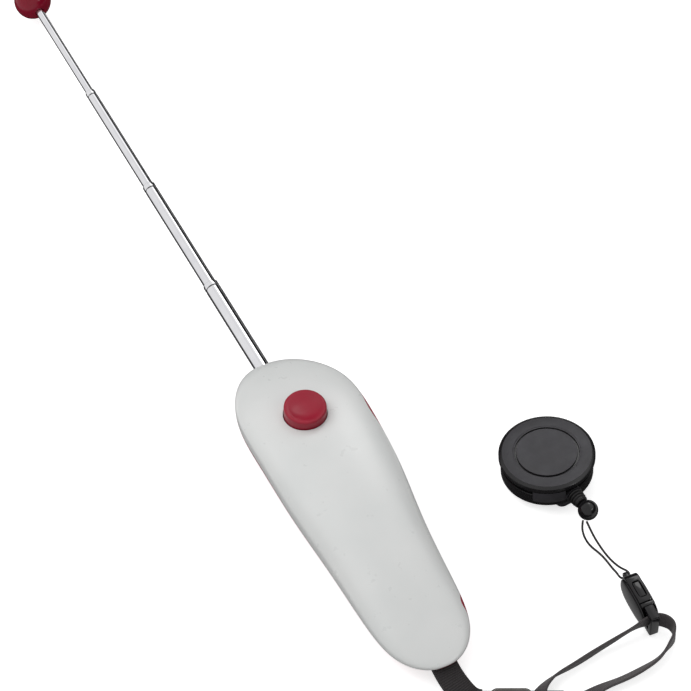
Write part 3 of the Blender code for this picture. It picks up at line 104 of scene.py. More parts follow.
STRAP_ROUTE = (
    (28.62, -88.59, 1.6), (30.4, -89.35, 1.5), (34.6, -89.7, 1.5), (40.1, -89.3, 2.1), (48.0, -89.6, 2.4),
    (56.2, -89.2, 2.65), (62.0, -88.1, 2.8), (67.3, -85.4, 2.9), (70.5, -82.8, 3.0), (71.0, -80.2, 3.8),
    (69.1, -77.6, 4.9), (65.4, -76.3, 5.5), (61.1, -76.0, 5.0), (54.0, -76.3, 3.7), (47.2, -76.8, 2.75),
    (41.0, -77.7, 2.6), (35.4, -78.5, 2.7), (30.4, -79.1, 2.75), (26.4, -80.2, 2.65), (23.6, -81.7, 2.3),
    (22.0, -83.2, 1.7))
STRAP_TURNS = (0, 0, 12, 34, 44, 50, 64, 86, 92, 80, 70, 84, 106, 108, 104, 102, 106, 113, 125, 142, 168)
CORD_ROUTE = (
    (65.3, -33.5, 5.8), (64.3, -35.0, 4.2), (63.9, -37.3, 2.3), (64.4, -40.4, 1.0), (65.5, -43.7, 0.7),
    (66.1, -47.3, 0.9), (66.0, -51.5, 1.9), (65.5, -55.0, 4.0), (65.1, -57.0, 5.2), (65.4, -58.5, 5.6),
    (66.7, -58.9, 5.6), (68.0, -58.5, 5.6), (68.4, -57.0, 5.2), (68.1, -54.6, 3.9), (67.6, -50.8, 2.1),
    (67.3, -46.9, 1.1), (67.1, -42.2, 0.9), (66.8, -38.9, 1.9), (66.4, -36.4, 3.9), (66.05, -34.5, 5.9))


# Colours and nodes

def srgb(text):
    """A hex colour as linear RGBA."""
    channels = np.array([int(text[i:i + 2], 16) for i in (1, 3, 5)]) / 255.0
    linear = np.where(channels <= 0.04045, channels / 12.92, ((channels + 0.055) / 1.055) ** 2.4)
    return (*linear.tolist(), 1.0)


def node(tree, kind, settings=None, inputs=None, links=None, stops=None):
    """Adds a node: its properties, its socket values, what is linked to its sockets, and a ramp's stops.

    A link's source is an output, or a node, which stands for its first output.
    """
    made = tree.nodes.new(kind)
    for name, value in (settings or {}).items():
        setattr(made, name, value)
    for name, value in (inputs or {}).items():
        made.inputs[name].default_value = value
    for name, source in (links or {}).items():
        tree.links.new(getattr(source, "outputs", [source])[0], made.inputs[name])
    for index, (position, value) in enumerate(stops or ()):
        elements = made.color_ramp.elements
        element = elements[index] if index < 2 else elements.new(position)
        element.position, element.color = position, value
    return made


def finish_material(name, roughness, metallic=0.0, ior=1.5):
    """A new material, its tree and its Principled shader with the values that are the same all over."""
    made = bpy.data.materials.new(name)
    made.use_nodes = True
    shader = made.node_tree.nodes["Principled BSDF"]
    shader.inputs["Roughness"].default_value = roughness
    shader.inputs["Metallic"].default_value = metallic
    if not metallic:
        shader.inputs["IOR"].default_value = ior
    return made, made.node_tree, shader


def link_surface(tree, shader, colour, bump, rough=None):
    """Links what makes a surface to the shader's sockets."""
    for socket, source in (("Base Color", colour), ("Normal", bump), ("Roughness", rough)):
        if source:
            tree.links.new(getattr(source, "outputs", [source])[0], shader.inputs[socket])


def moulded_plastic(name, colours, roughness, mottle_mm, grain_mm, grain_depth_mm, ior=1.54, scuff=None, coat=0.0,
                    specular=0.5):
    """A moulded plastic: colour drifting between two hex values, a fine grain, and roughness that handling varies.

    mottle_mm is the size of the drift, grain_mm the size of the tool's grain and grain_depth_mm its depth. scuff,
    where given, is the hex colour of hair scratches that lie in patches.
    """
    handling_mm, hair_mm, patch_mm = 4.0, 0.45, 9.0
    made, tree, shader = finish_material(name, sum(roughness) / 2, ior=ior)
    shader.inputs["Specular IOR Level"].default_value = specular
    place = node(tree, "ShaderNodeTexCoord").outputs["Object"]
    drift = node(tree, "ShaderNodeTexNoise", inputs={"Scale": 1000 / mottle_mm, "Detail": 3.0}, links={"Vector": place})
    colour = node(tree, "ShaderNodeValToRGB", links={"Fac": drift},
                  stops=[(0.3, srgb(colours[0])), (0.7, srgb(colours[1]))])
    handled = node(tree, "ShaderNodeTexNoise", inputs={"Scale": 1000 / handling_mm, "Detail": 5.0, "Roughness": 0.65},
                   links={"Vector": place})
    rough = node(tree, "ShaderNodeMapRange", inputs={
        "From Min": 0.3, "From Max": 0.7, "To Min": roughness[0], "To Max": roughness[1]},
        links={"Value": handled})
    grain = node(tree, "ShaderNodeTexNoise", inputs={"Scale": 1000 / grain_mm, "Detail": 2.0}, links={"Vector": place})
    bump = node(tree, "ShaderNodeBump", inputs={"Strength": 1.0, "Distance": grain_depth_mm * MM},
                links={"Height": grain})
    if scuff:
        squashed = node(tree, "ShaderNodeMapping", inputs={"Rotation": (0.3, 0.2, 0.9), "Scale": (1.0, 0.035, 1.0)},
                        links={"Vector": place})
        hair = node(tree, "ShaderNodeTexNoise", inputs={"Scale": 1000 / hair_mm, "Detail": 1.0},
                    links={"Vector": squashed})
        where = node(tree, "ShaderNodeTexNoise", inputs={"Scale": 1000 / patch_mm, "Detail": 2.0},
                     links={"Vector": place})
        lines = node(tree, "ShaderNodeMapRange", inputs={"From Min": 0.7, "From Max": 0.78, "To Max": 0.35},
                     links={"Value": hair})
        patch = node(tree, "ShaderNodeMapRange", inputs={"From Min": 0.52, "From Max": 0.66},
                     links={"Value": where})
        mask = node(tree, "ShaderNodeMath", {"operation": "MULTIPLY"}, links={0: lines, 1: patch})
        colour = node(tree, "ShaderNodeMix", {"data_type": "RGBA"}, {7: srgb(scuff)},
                      {0: mask, 6: colour}).outputs[2]
    link_surface(tree, shader, colour, bump, rough)
    if coat:
        shader.inputs["Coat Weight"].default_value = coat
        shader.inputs["Coat Roughness"].default_value = 0.06
    return made


def plated_metal(name, colour, roughness, line_mm, depth_mm, tarnish=None):
    """A drawn or stamped metal: fine lines line_mm apart along local Y, and a roughness that smudges vary a little."""
    smudge_mm = 6.0
    made, tree, shader = finish_material(name, sum(roughness) / 2, metallic=1.0)
    place = node(tree, "ShaderNodeTexCoord").outputs["Object"]
    along = node(tree, "ShaderNodeMapping", inputs={"Scale": (1.0, 0.02, 1.0)}, links={"Vector": place})
    lines = node(tree, "ShaderNodeTexNoise", inputs={"Scale": 1000 / line_mm, "Detail": 2.0}, links={"Vector": along})
    smudges = node(tree, "ShaderNodeTexNoise", inputs={"Scale": 1000 / smudge_mm, "Detail": 4.0},
                   links={"Vector": place})
    bump = node(tree, "ShaderNodeBump", inputs={"Strength": 1.0, "Distance": depth_mm * MM},
                links={"Height": lines})
    rough = node(tree, "ShaderNodeMapRange", inputs={
        "From Min": 0.35, "From Max": 0.7, "To Min": roughness[0], "To Max": roughness[1]},
        links={"Value": smudges})
    tone = node(tree, "ShaderNodeValToRGB", links={"Fac": smudges},
                stops=[(0.3, srgb(colour)), (0.75, srgb(tarnish or colour))])
    link_surface(tree, shader, tone, bump, rough)
    return made


def woven_tape(name, colours, rib_mm, end_mm, depth_mm, sheen):
    """Narrow woven polyester: ribs across the tape rib_mm apart, warp ends end_mm apart, crossing over and under.

    The UV map is in millimetres: U across the tape, V along it.
    """
    fuzz_mm = 0.25
    made, tree, shader = finish_material(name, 0.85)
    shader.inputs["Sheen Weight"].default_value = sheen
    shader.inputs["Sheen Roughness"].default_value = 0.4
    parts = node(tree, "ShaderNodeSeparateXYZ", links={0: node(tree, "ShaderNodeTexCoord").outputs["UV"]})
    waves = []
    for output, pitch in (("X", end_mm), ("Y", rib_mm)):
        angle = node(tree, "ShaderNodeMath", {"operation": "MULTIPLY"}, {1: math.pi / pitch},
                     {0: parts.outputs[output]})
        waves.append(node(tree, "ShaderNodeMath", {"operation": "SINE"}, links={0: angle}))
    crossing = node(tree, "ShaderNodeMath", {"operation": "MULTIPLY"}, links={0: waves[0], 1: waves[1]})
    raised = node(tree, "ShaderNodeMath", {"operation": "ABSOLUTE"}, links={0: waves[1]})
    height = node(tree, "ShaderNodeMath", {"operation": "MULTIPLY_ADD"}, {1: 0.4}, {0: crossing, 2: raised})
    place = node(tree, "ShaderNodeTexCoord").outputs["Object"]
    fuzz = node(tree, "ShaderNodeTexNoise", inputs={"Scale": 1000 / fuzz_mm, "Detail": 3.0}, links={"Vector": place})
    total = node(tree, "ShaderNodeMath", {"operation": "MULTIPLY_ADD"}, {1: 0.5}, {0: fuzz, 2: height})
    bump = node(tree, "ShaderNodeBump", inputs={"Strength": 1.0, "Distance": depth_mm * MM},
                links={"Height": total})
    # The tone follows the weave's height: the weave's own pattern, with painted shade darkening its hollows
    tone = node(tree, "ShaderNodeValToRGB", links={"Fac": total},
                stops=[(0.1, srgb(colours[0])), (1.0, srgb(colours[1]))])
    link_surface(tree, shader, tone, bump)
    return made


def braided_cord(name, colours, strand_mm):
    """Braided polyester cord: two sets of strands that cross, strand_mm wide, on a UV map in millimetres."""
    slope, relief_mm = 1.4, 0.04
    made, tree, shader = finish_material(name, 0.6)
    parts = node(tree, "ShaderNodeSeparateXYZ", links={0: node(tree, "ShaderNodeTexCoord").outputs["UV"]})
    sets = []
    for sign in (1.0, -1.0):
        slant = node(tree, "ShaderNodeMath", {"operation": "MULTIPLY_ADD"}, {1: sign * slope},
                     {0: parts.outputs["X"], 2: parts.outputs["Y"]})
        angle = node(tree, "ShaderNodeMath", {"operation": "MULTIPLY"}, {1: math.pi / strand_mm}, {0: slant})
        sets.append(node(tree, "ShaderNodeMath", {"operation": "SINE"}, links={0: angle}))
    height = node(tree, "ShaderNodeMath", {"operation": "MULTIPLY"}, links={0: sets[0], 1: sets[1]})
    bump = node(tree, "ShaderNodeBump", inputs={"Strength": 1.0, "Distance": relief_mm * MM},
                links={"Height": height})
    # The tone follows the strands' height: the braid's own pattern, with painted shade darkening where strands pass
    # under
    tone = node(tree, "ShaderNodeValToRGB", links={"Fac": height},
                stops=[(0.0, srgb(colours[0])), (0.8, srgb(colours[1]))])
    link_surface(tree, shader, tone, bump)
    return made


# Injection-moulded ABS from a polished tool: a soft even gloss over a faint orange peel, clean and neutral
PALE_ABS = moulded_plastic("moulded_ABS_pale_grey", ("#CFD1D0", "#D5D6D5"), (0.27, 0.3), 22.0, 0.9, 0.004)
# The same resin dyed a dark cherry red, a little duller: it keeps its colour deep where it turns away
CHERRY_ABS = moulded_plastic("moulded_ABS_cherry_red", ("#8A1529", "#951B30"), (0.3, 0.42), 9.0, 0.5, 0.006,
                             scuff="#9E2C3E", specular=0.28)
# Solid ball turned smooth and lacquered: dark wine red with a clear gloss over it
WINE_LACQUER = moulded_plastic("lacquered_ball_wine_red", ("#74061E", "#7E0B26"), (0.16, 0.26), 5.0, 0.6, 0.002,
                               coat=0.15, specular=0.2)
# Spark-eroded black ABS: satin, a fine even grain that greys it where light grazes
SATIN_ABS = moulded_plastic("moulded_ABS_satin_black", ("#2E2D30", "#343337"), (0.4, 0.52), 7.0, 0.28, 0.012,
                            scuff="#3E3D41", specular=0.35)
# The case's tool is smoother than the cover's: darker, with a clearer reflection. On the cover's groove, sloping edge
# and the faces under its edge the darker colour is painted shade
CASE_BLACK_AND_SHADE = moulded_plastic("moulded_ABS_smooth_black_and_painted_shade", ("#131214", "#1A191B"), (0.2, 0.32), 6.0, 0.4, 0.006,
                           scuff="#29282B", specular=0.35)
# Acetal from a polished tool: near black with sharp highlights
GLOSS_ACETAL = moulded_plastic("moulded_acetal_gloss_black", ("#111012", "#171618"), (0.08, 0.16), 5.0, 0.7, 0.002,
                               ior=1.48, specular=0.4)
# Moulded rubber: soft black with a dull bloom
BOOT_RUBBER = moulded_plastic("moulded_rubber_black", ("#151415", "#1C1B1C"), (0.4, 0.55), 3.0, 0.2, 0.01,
                              specular=0.4)
# Unfilled acetal: milky, slightly translucent-looking off-white
NATURAL_ACETAL = moulded_plastic("moulded_acetal_natural", ("#DDD9CC", "#E6E2D6"), (0.35, 0.5), 8.0, 0.5, 0.006)
# Chrome over drawn steel tube: mirror bright, with faint draw lines along the tube
CHROME = plated_metal("chrome_plate_on_drawn_tube", "#EAEAEC", (0.03, 0.07), 0.3, 0.0004, tarnish="#E0E0E4")
# Nickel-plated wire, screws and pins, gone dull: darker and warmer than the chrome
NICKEL = plated_metal("nickel_plated_steel", "#6F6C69", (0.16, 0.28), 0.2, 0.001, tarnish="#5A5754")
# Tube left unplated inside: dull and brown-black, darkened further as painted shade, so that each mouth shows a thin
# dark line round the next tube
BORE_STEEL_AND_SHADE = plated_metal("unplated_steel_bore_and_painted_shade", "#2C2A28", (0.5, 0.65), 0.3, 0.002, tarnish="#1E1C1A")
# Bright spring steel strip: grey, with rolling lines
SPRING_STEEL = plated_metal("rolled_spring_steel", "#A5A6AA", (0.22, 0.36), 0.12, 0.0015, tarnish="#8C8D92")
# Turned brass: yellow, with close tool marks
BRASS = plated_metal("turned_brass", "#C9A25A", (0.2, 0.34), 0.15, 0.002, tarnish="#A98446")
# Woven polyester webbing: thick cross ribs, nearly black, dull
WEBBING = woven_tape("woven_polyester_webbing_black", ("#0F0D0E", "#2B2728"), 0.75, 0.5, 0.14, 0.1)
# Thinner woven tape: finer ribs and a greyer face
TAPE = woven_tape("woven_polyester_tape_charcoal", ("#322F30", "#484445"), 0.5, 0.4, 0.05, 0.25)
# Braided polyester: strands a fifth of a millimetre wide, drawn at twice that to show
BRAID = braided_cord("braided_polyester_cord_black", ("#161415", "#2C2A2B"), 0.4)
# Bonded polyester sewing thread: two plies laid round each other
THREAD = braided_cord("polyester_sewing_thread_black", ("#141314", "#2A2829"), 0.2)


# Meshes

def mesh_object(name, points, faces, loop_uv=None):
    """A mesh piece from (n, 3) points in metres, faces, and the UV of every face corner."""
    mesh = bpy.data.meshes.new(name)
    mesh.from_pydata(np.asarray(points, float).tolist(), [], [list(map(int, face)) for face in faces])
    if loop_uv is not None:
        mesh.uv_layers.new(name="UVMap").data.foreach_set("uv", np.asarray(loop_uv, np.float32).ravel())
    made = bpy.data.objects.new(name, mesh)
    bpy.context.scene.collection.objects.link(made)
    return made


def outward(made):
    """Merges doubles and turns the faces of a closed piece outwards."""
    bm = bmesh.new()
    bm.from_mesh(made.data)
    bmesh.ops.remove_doubles(bm, verts=bm.verts, dist=1e-8)
    bmesh.ops.recalc_face_normals(bm, faces=bm.faces)
    bm.to_mesh(made.data)
    bm.free()
    return made


def moved(points, matrix):
    m = np.array(matrix)
    return np.asarray(points, float) @ m[:3, :3].T + m[:3, 3]


def grid_faces(rows, columns, closed_columns=True, closed_rows=False):
    """Quads of a (rows, columns) grid of points, numbered row by row."""
    r, c = np.meshgrid(np.arange(rows if closed_rows else rows - 1),
                       np.arange(columns if closed_columns else columns - 1), indexing="ij")
    below, after = (r + 1) % rows, (c + 1) % columns
    return np.stack([r * columns + c, r * columns + after, below * columns + after, below * columns + c],
                    -1).reshape(-1, 4)


def grid_uv(u, v):
    """UV of every corner of a tube's quads, u being its columns' and v its rows' places, one more than there are."""
    a, b = np.meshgrid(v[:-1], u[:-1], indexing="ij")
    c, d = np.meshgrid(v[1:], u[1:], indexing="ij")
    return np.stack([np.stack([b, a], -1), np.stack([d, a], -1), np.stack([d, c], -1), np.stack([b, c], -1)],
                    2).reshape(-1, 2)


def tube_surface(name, rings, u=None, v=None, closed_rows=False, tips=None, swap_uv=False):
    """Skins (rows, columns, 3) closed rings; open ends are closed with a fan to a tip, or to the ring's middle."""
    rows, columns, _ = rings.shape
    points = rings.reshape(-1, 3)
    faces = grid_faces(rows, columns, True, closed_rows)
    loop_uv = None if u is None else grid_uv(u, v)
    if not closed_rows:
        points = np.concatenate([points, [rings[0].mean(0), rings[-1].mean(0)] if tips is None else tips])
        column = np.arange(columns)
        after, last = (column + 1) % columns, (rows - 1) * columns
        fans = np.concatenate([
            np.stack([np.full(columns, rows * columns), after, column], -1),
            np.stack([np.full(columns, rows * columns + 1), column + last, after + last], -1)])
        faces = [*faces, *fans]
        if loop_uv is not None:
            loop_uv = np.concatenate([loop_uv, np.zeros((6 * columns, 2))])
    if swap_uv:
        loop_uv = loop_uv[:, ::-1]
    return outward(mesh_object(name, points, faces, loop_uv))


def turned(name, profile, sides, matrix=Matrix(), angle=35.0):
    """Each point (radius, height) of a profile goes once round local Z; it runs from pole to pole, or is a loop.

    Here and in the helpers below sizes are in millimetres, and matrix gives the place.
    """
    profile = np.asarray(profile, float) * MM
    round_z = np.linspace(0, 2 * np.pi, sides, endpoint=False)
    closed = profile[0, 0] > 0 or profile[-1, 0] > 0
    r, z = profile[:, :1], profile[:, 1:]
    rings = np.stack([r * np.cos(round_z), r * np.sin(round_z), z + 0 * round_z], -1)
    faces = grid_faces(len(profile), sides, True, closed)
    return smooth_edges(outward(mesh_object(name, moved(rings.reshape(-1, 3), matrix), faces)), angle)


def arc(centre, radius, start, end, count=6):
    """Points (radius, height) on a circle round centre, from angle start to end in degrees."""
    angle = np.radians(np.linspace(start, end, count))
    return np.stack([centre[0] + radius * np.cos(angle), centre[1] + radius * np.sin(angle)], -1)


def cylinder(name, radius, start, end, matrix=Matrix(), sides=64):
    """A helper cylinder between two points."""
    along = Vector(end) - Vector(start)
    lean = Vector((0, 0, 1)).rotation_difference(along).to_matrix().to_4x4()
    profile = [(0.0, 0.0), (radius, 0.0), (radius, along.length), (0.0, along.length)]
    return turned(name, profile, sides, matrix @ shift(*start) @ lean)


def block(name, low, high, matrix=Matrix()):
    """A helper box."""
    corner = np.stack(np.meshgrid([0, 1], [0, 1], [0, 1], indexing="ij"), -1).reshape(-1, 3)
    points = np.array(low) + corner * (np.array(high) - np.array(low))
    faces = [(0, 1, 3, 2), (4, 6, 7, 5), (0, 4, 5, 1), (2, 3, 7, 6), (0, 2, 6, 4), (1, 5, 7, 3)]
    return outward(mesh_object(name, moved(points * MM, matrix), faces))


def plate(name, outline, x0, x1, matrix=Matrix()):
    """A flat slab: an outline of (y, z) points between two x planes."""
    outline = np.asarray(outline, float)
    count = len(outline)
    points = np.concatenate([np.insert(outline, 0, x, axis=1) for x in (x0, x1)])
    k = np.arange(count)
    after = (k + 1) % count
    sides = np.stack([k, after, after + count, k + count], -1)
    return outward(mesh_object(name, moved(points * MM, matrix), [*sides, k, k[::-1] + count]))


def joined(name, *others):
    """One mesh out of helpers that don't overlap."""
    bm = bmesh.new()
    for other in others:
        bm.from_mesh(other.data)
        bpy.data.objects.remove(other, do_unlink=True)
    mesh = bpy.data.meshes.new(name)
    bm.to_mesh(mesh)
    bm.free()
    made = bpy.data.objects.new(name, mesh)
    bpy.context.scene.collection.objects.link(made)
    return made


def applied(made):
    """Bakes the modifiers of a piece into its mesh."""
    bpy.context.view_layer.update()
    graph = bpy.context.evaluated_depsgraph_get()
    mesh = bpy.data.meshes.new_from_object(made.evaluated_get(graph), depsgraph=graph)
    made.modifiers.clear()
    made.data = mesh
    return made


def cut(made, operation, other, solver="EXACT"):
    """Applies one Boolean with a helper solid, and removes the helper."""
    modifier = made.modifiers.new("cut", "BOOLEAN")
    modifier.operation, modifier.object, modifier.solver = operation, other, solver
    if solver == "EXACT":
        modifier.use_self = True
    applied(made)
    bpy.data.objects.remove(other, do_unlink=True)
    return made


def rounded(made, width, segments=3, angle=35.0):
    """Rounds the edges sharper than angle."""
    modifier = made.modifiers.new("rounding", "BEVEL")
    modifier.width, modifier.segments, modifier.limit_method = width, segments, "ANGLE"
    modifier.angle_limit = math.radians(angle)
    modifier.harden_normals = False
    return applied(made)


def smooth_edges(made, angle=35.0):
    made.data.shade_smooth()
    made.data.set_sharp_from_angle(angle=math.radians(angle))
    return made


def finish_piece(made, body, material, slot, *replaced):
    """Gives a piece its material, its body and the solids that it stands for; slot is not used."""
    made.data.materials.clear()
    made.data.materials.append(material)
    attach(made, body)
    if replaced:
        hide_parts(*replaced)
    return made


def second_material(made, material, matrix, chosen):
    """Gives another material to the faces that chosen picks by their middle's distance from local Z and its height."""
    made.data.materials.append(material)
    local = moved(np.array([face.center for face in made.data.polygons]), matrix.inverted()) / MM
    picked = chosen(np.hypot(local[:, 0], local[:, 1]), local[:, 2])
    made.data.polygons.foreach_set("material_index", picked.astype(np.int32))


# Curves

def spline(knots, values, at, flat_ends=False):
    """A cubic spline through values at knots: natural at its ends, or with no slope there."""
    x, y = np.asarray(knots, float), np.asarray(values, float)
    count = len(x)
    step = np.diff(x)
    slope = np.diff(y) / step
    matrix, right = np.zeros((count, count)), np.zeros(count)
    inside = np.arange(1, count - 1)
    matrix[inside, inside - 1], matrix[inside, inside + 1] = step[:-1], step[1:]
    matrix[inside, inside] = 2 * (step[:-1] + step[1:])
    right[inside] = 6 * np.diff(slope)
    if flat_ends:
        matrix[0, :2], matrix[-1, -2:] = (2 * step[0], step[0]), (step[-1], 2 * step[-1])
        right[0], right[-1] = 6 * slope[0], -6 * slope[-1]
    else:
        matrix[0, 0] = matrix[-1, -1] = 1.0
    bend = np.linalg.solve(matrix, right)
    at = np.clip(np.asarray(at, float), x[0], x[-1])
    k = np.clip(np.searchsorted(x, at) - 1, 0, count - 2)
    before, after, width = x[k + 1] - at, at - x[k], step[k]
    curve = (bend[k] * before**3 + bend[k + 1] * after**3) / (6 * width)
    from_left = (y[k] / width - bend[k] * width / 6) * before
    from_right = (y[k + 1] / width - bend[k + 1] * width / 6) * after
    return curve + from_left + from_right


def smooth_route(route, spacing):
    """Points every spacing along a smooth curve through a route in millimetres, with their places on its chords."""
    points = np.array(route, float) * MM
    chord = np.concatenate([[0.0], np.cumsum(np.linalg.norm(np.diff(points, axis=0), axis=1))])
    fine = np.linspace(0, chord[-1], 60 * len(points))
    curve = np.stack([spline(chord, points[:, k], fine) for k in range(3)], axis=1)
    length = np.concatenate([[0.0], np.cumsum(np.linalg.norm(np.diff(curve, axis=0), axis=1))])
    at = np.linspace(0, length[-1], round(length[-1] / spacing) + 1)
    spaced = np.stack([np.interp(at, length, curve[:, k]) for k in range(3)], axis=1)
    return spaced, at, np.interp(at, length, fine), chord


def frames_along(points, angles=0.0):
    """Heading, width and thickness directions along a path, the width turned by angles (radians) from level."""
    heading = np.gradient(points, axis=0)
    heading /= np.linalg.norm(heading, axis=1)[:, None]
    across = np.cross(heading, (0.0, 0.0, 1.0))
    across /= np.linalg.norm(across, axis=1)[:, None]
    up = np.cross(across, heading)
    angles = np.broadcast_to(angles, len(points))[:, None]
    wide = across * np.cos(angles) + up * np.sin(angles)
    return heading, wide, np.cross(wide, heading)


def squircle(points, power):
    """Unit superellipse |x|^power + |y|^power = 1."""
    angle = np.linspace(0, 2 * np.pi, points, endpoint=False)
    x, y = np.cos(angle), np.sin(angle)
    return np.sign(x) * np.abs(x) ** (2 / power), np.sign(y) * np.abs(y) ** (2 / power)


def section_length(x, y):
    """Distance along a closed section from its first point to each point and back to the first, in millimetres."""
    x, y = np.append(x, x[0]), np.append(y, y[0])
    return np.concatenate([[0.0], np.cumsum(np.hypot(np.diff(x), np.diff(y)))]) / MM


def woven_band(name, points, at, wide, thick, width, thickness, rib_mm, rib_depth, power=7.0):
    """A woven band: a superellipse section carried along a path, thinner by rib_depth between ribs, rib_mm apart."""
    x, y = squircle(72, power)
    ribs = 1 + rib_depth / thickness * (np.abs(np.sin(np.pi * at / (rib_mm * MM))) - 1)
    half_w = width / 2 * (1 + 0.006 * np.sin(at / (1.7 * MM)))[:, None] * x
    half_t = thickness / 2 * ribs[:, None] * y
    rings = points[:, None] + wide[:, None] * half_w[..., None] + thick[:, None] * half_t[..., None]
    made = tube_surface(name, rings, section_length(x * width / 2, y * thickness / 2), at / MM)
    return smooth_edges(made, 50.0)


# Cords: the thin loop and the narrow strap

def make_cord_loop():
    """The thin cord from the bead, through the clasp's eye and back to the bead: a circle along its route."""
    points, at, _, _ = smooth_route(CORD_ROUTE, 0.25 * MM)
    _, wide, thick = frames_along(points)
    radius = 0.35 * MM
    angle = np.linspace(0, 2 * np.pi, 24, endpoint=False)
    rings = points[:, None] + radius * (
        wide[:, None] * np.cos(angle)[:, None] + thick[:, None] * np.sin(angle)[:, None])
    cord = tube_surface("thin_cord", rings, section_length(radius * np.cos(angle), radius * np.sin(angle)), at / MM)
    finish_piece(smooth_edges(cord, 60.0), "reel", BRAID, "black_cord", "cord_loop")


def make_narrow_strap():
    """The flat strap from the fold, through the clasp's slot and back to the fold."""
    points, at, place, chord = smooth_route(STRAP_ROUTE, 0.125 * MM)
    _, wide, thick = frames_along(points, np.radians(spline(chord, STRAP_TURNS, place)))
    strap = woven_band("wrist_strap", points, at, wide, thick, 4.8 * MM, 0.9 * MM, 0.5, 0.05 * MM)
    finish_piece(strap, "handle", TAPE, "grey_strap", "narrow_strap")


make_cord_loop()
make_narrow_strap()


# Handle form: a station is an angle from 0 at the tail to pi at the nose, so that the ends come out round

KNOTS = np.concatenate([[0.0], np.arccos(1 - 2 * np.array(STATIONS)), [np.pi]])


def along_handle(values, station, tail=0.0, nose=0.0, flat_ends=False):
    return spline(KNOTS, (tail, *values, nose), station, flat_ends)


def waist_height(station):
    return along_handle(WAISTS, station, TAIL_WAIST_Z, ROD_Z, flat_ends=True)


def station_of(y):
    return np.arccos(1 - 2 * np.clip((np.asarray(y) - TAIL_Y) / (NOSE_Y - TAIL_Y), 0.0, 1.0))


def handle_solid(name, wall, rows=61, sides=64):
    """The handle's form, or its hollow where wall is above 0: a superellipse of power 2.4 round an arched line.

    Half width, rise and drop are cubic splines of the station; y is the middle less the reach times cos(station).
    The form is cut flat at height 0, and the hollow is smaller by wall but never less than a fifth.
    """
    reach = (NOSE_Y - TAIL_Y) / 2 - wall * 1.5
    station = np.linspace(0, np.pi, rows)[1:-1]
    y = (NOSE_Y + TAIL_Y) / 2 - reach * np.cos(station)
    place = station_of(y)[:, None]
    side, rise = (axis[None, :] for axis in squircle(sides, 2.4))
    width = along_handle(HALF_WIDTHS, place) + np.where(side > 0, along_handle(PALM_SWELLS, place), 0.0)
    height = np.where(rise > 0, along_handle(CROWNS, place), along_handle(BELLIES, place))
    x = np.maximum(width - wall, 0.2 * width) * side
    z = waist_height(place) + np.maximum(height - wall, 0.2 * height) * rise
    if not wall:
        z = np.maximum(z, 0.0)
    rings = np.stack([x, y[:, None] + 0 * x, z], -1)
    tips = [[0.0, TAIL_Y + wall * 1.5, TAIL_WAIST_Z], [0.0, NOSE_Y - wall * 1.5, ROD_Z]]
    return tube_surface(name, rings, tips=tips)


def seam_height(x, y):
    """The joint line: 4.6 mm under the waist on the left and 1.5 mm on the right, where two lobes rise from it."""
    station = station_of(y)
    share = (1 - np.cos(station)) / 2
    fade = (4 * share * (1 - share)) ** 0.4
    left = waist_height(station) - 4.6 * MM * fade
    right = waist_height(station) - 1.5 * MM * fade
    for centre, spread, height in ((0.70, 0.11, 3.9 * MM), (0.135, 0.045, 3.6 * MM)):
        right = right + height * np.exp(-(((share - centre) / spread) ** 2))
    mix = np.clip(0.5 + x / (20.0 * MM), 0, 1)
    mix = mix * mix * (3 - 2 * mix)
    return left + (right - left) * mix


def seam_block(offset, far_z):
    """All that lies between the seam, moved by offset, and the height far_z: a grid over a flat one, and a rim."""
    x, y = np.meshgrid(np.linspace(-27.0, 27.0, 49) * MM, np.linspace(TAIL_Y - 4 * MM, NOSE_Y + 4 * MM, 241))
    near = np.stack([x, y, seam_height(x, y) + offset], -1)
    far = np.stack([x, y, np.full_like(x, far_z)], -1)
    rows, columns = x.shape
    top = grid_faces(rows, columns, False)
    index = np.arange(rows * columns).reshape(rows, columns)
    rim = np.concatenate([index[0, :-1], index[:-1, -1], index[-1, :0:-1], index[:0:-1, 0]])
    after = np.roll(rim, -1)
    side = np.stack([after, rim, rim + rows * columns, after + rows * columns], -1)
    points = np.concatenate([near.reshape(-1, 3), far.reshape(-1, 3)])
    return outward(mesh_object("other_half", points, np.concatenate([top, top[:, ::-1] + rows * columns, side])))


def screw_sites():
    """Each screw's place, its seat's height and its post's top, in millimetres."""
    return [(side * x, y, seat, top) for x, y, seat, top in SCREWS for side in (-1, 1)]


def upright(name, radius, x, y, low, high, sides=48):
    """A vertical helper cylinder, its sizes in millimetres."""
    return cylinder(name, radius, (x, y, low), (x, y, high), sides=sides)


def make_shell(name, offset, far_z, fill):
    """The handle's form, less its hollow, plus what stands inside it, less the other half's side of the seam."""
    shell = handle_solid(name, 0.0, 181, 168)
    cut(shell, "DIFFERENCE", handle_solid("hollow", SHELL_WALL), "MANIFOLD")
    cut(fill, "INTERSECT", handle_solid("roots", SHELL_WALL / 2), "MANIFOLD")
    cut(shell, "UNION", fill, "MANIFOLD")
    other = cut(seam_block(offset, far_z), "DIFFERENCE", handle_solid("room", SHELL_WALL + 0.3 * MM), "MANIFOLD")
    return cut(shell, "DIFFERENCE", other, "MANIFOLD")


def nose_and_slot():
    """The rod's hole and the webbing's slot."""
    return [cylinder("nose", 2.9, (0, 59.2, 9.5), (0, 70, 9.5)),
            block("slot", (-4.8, -7.0, -1.35), (4.8, 4.5, 1.35), shift(0.0, -60.5, 6.3) @ turn("X", 20.0))]


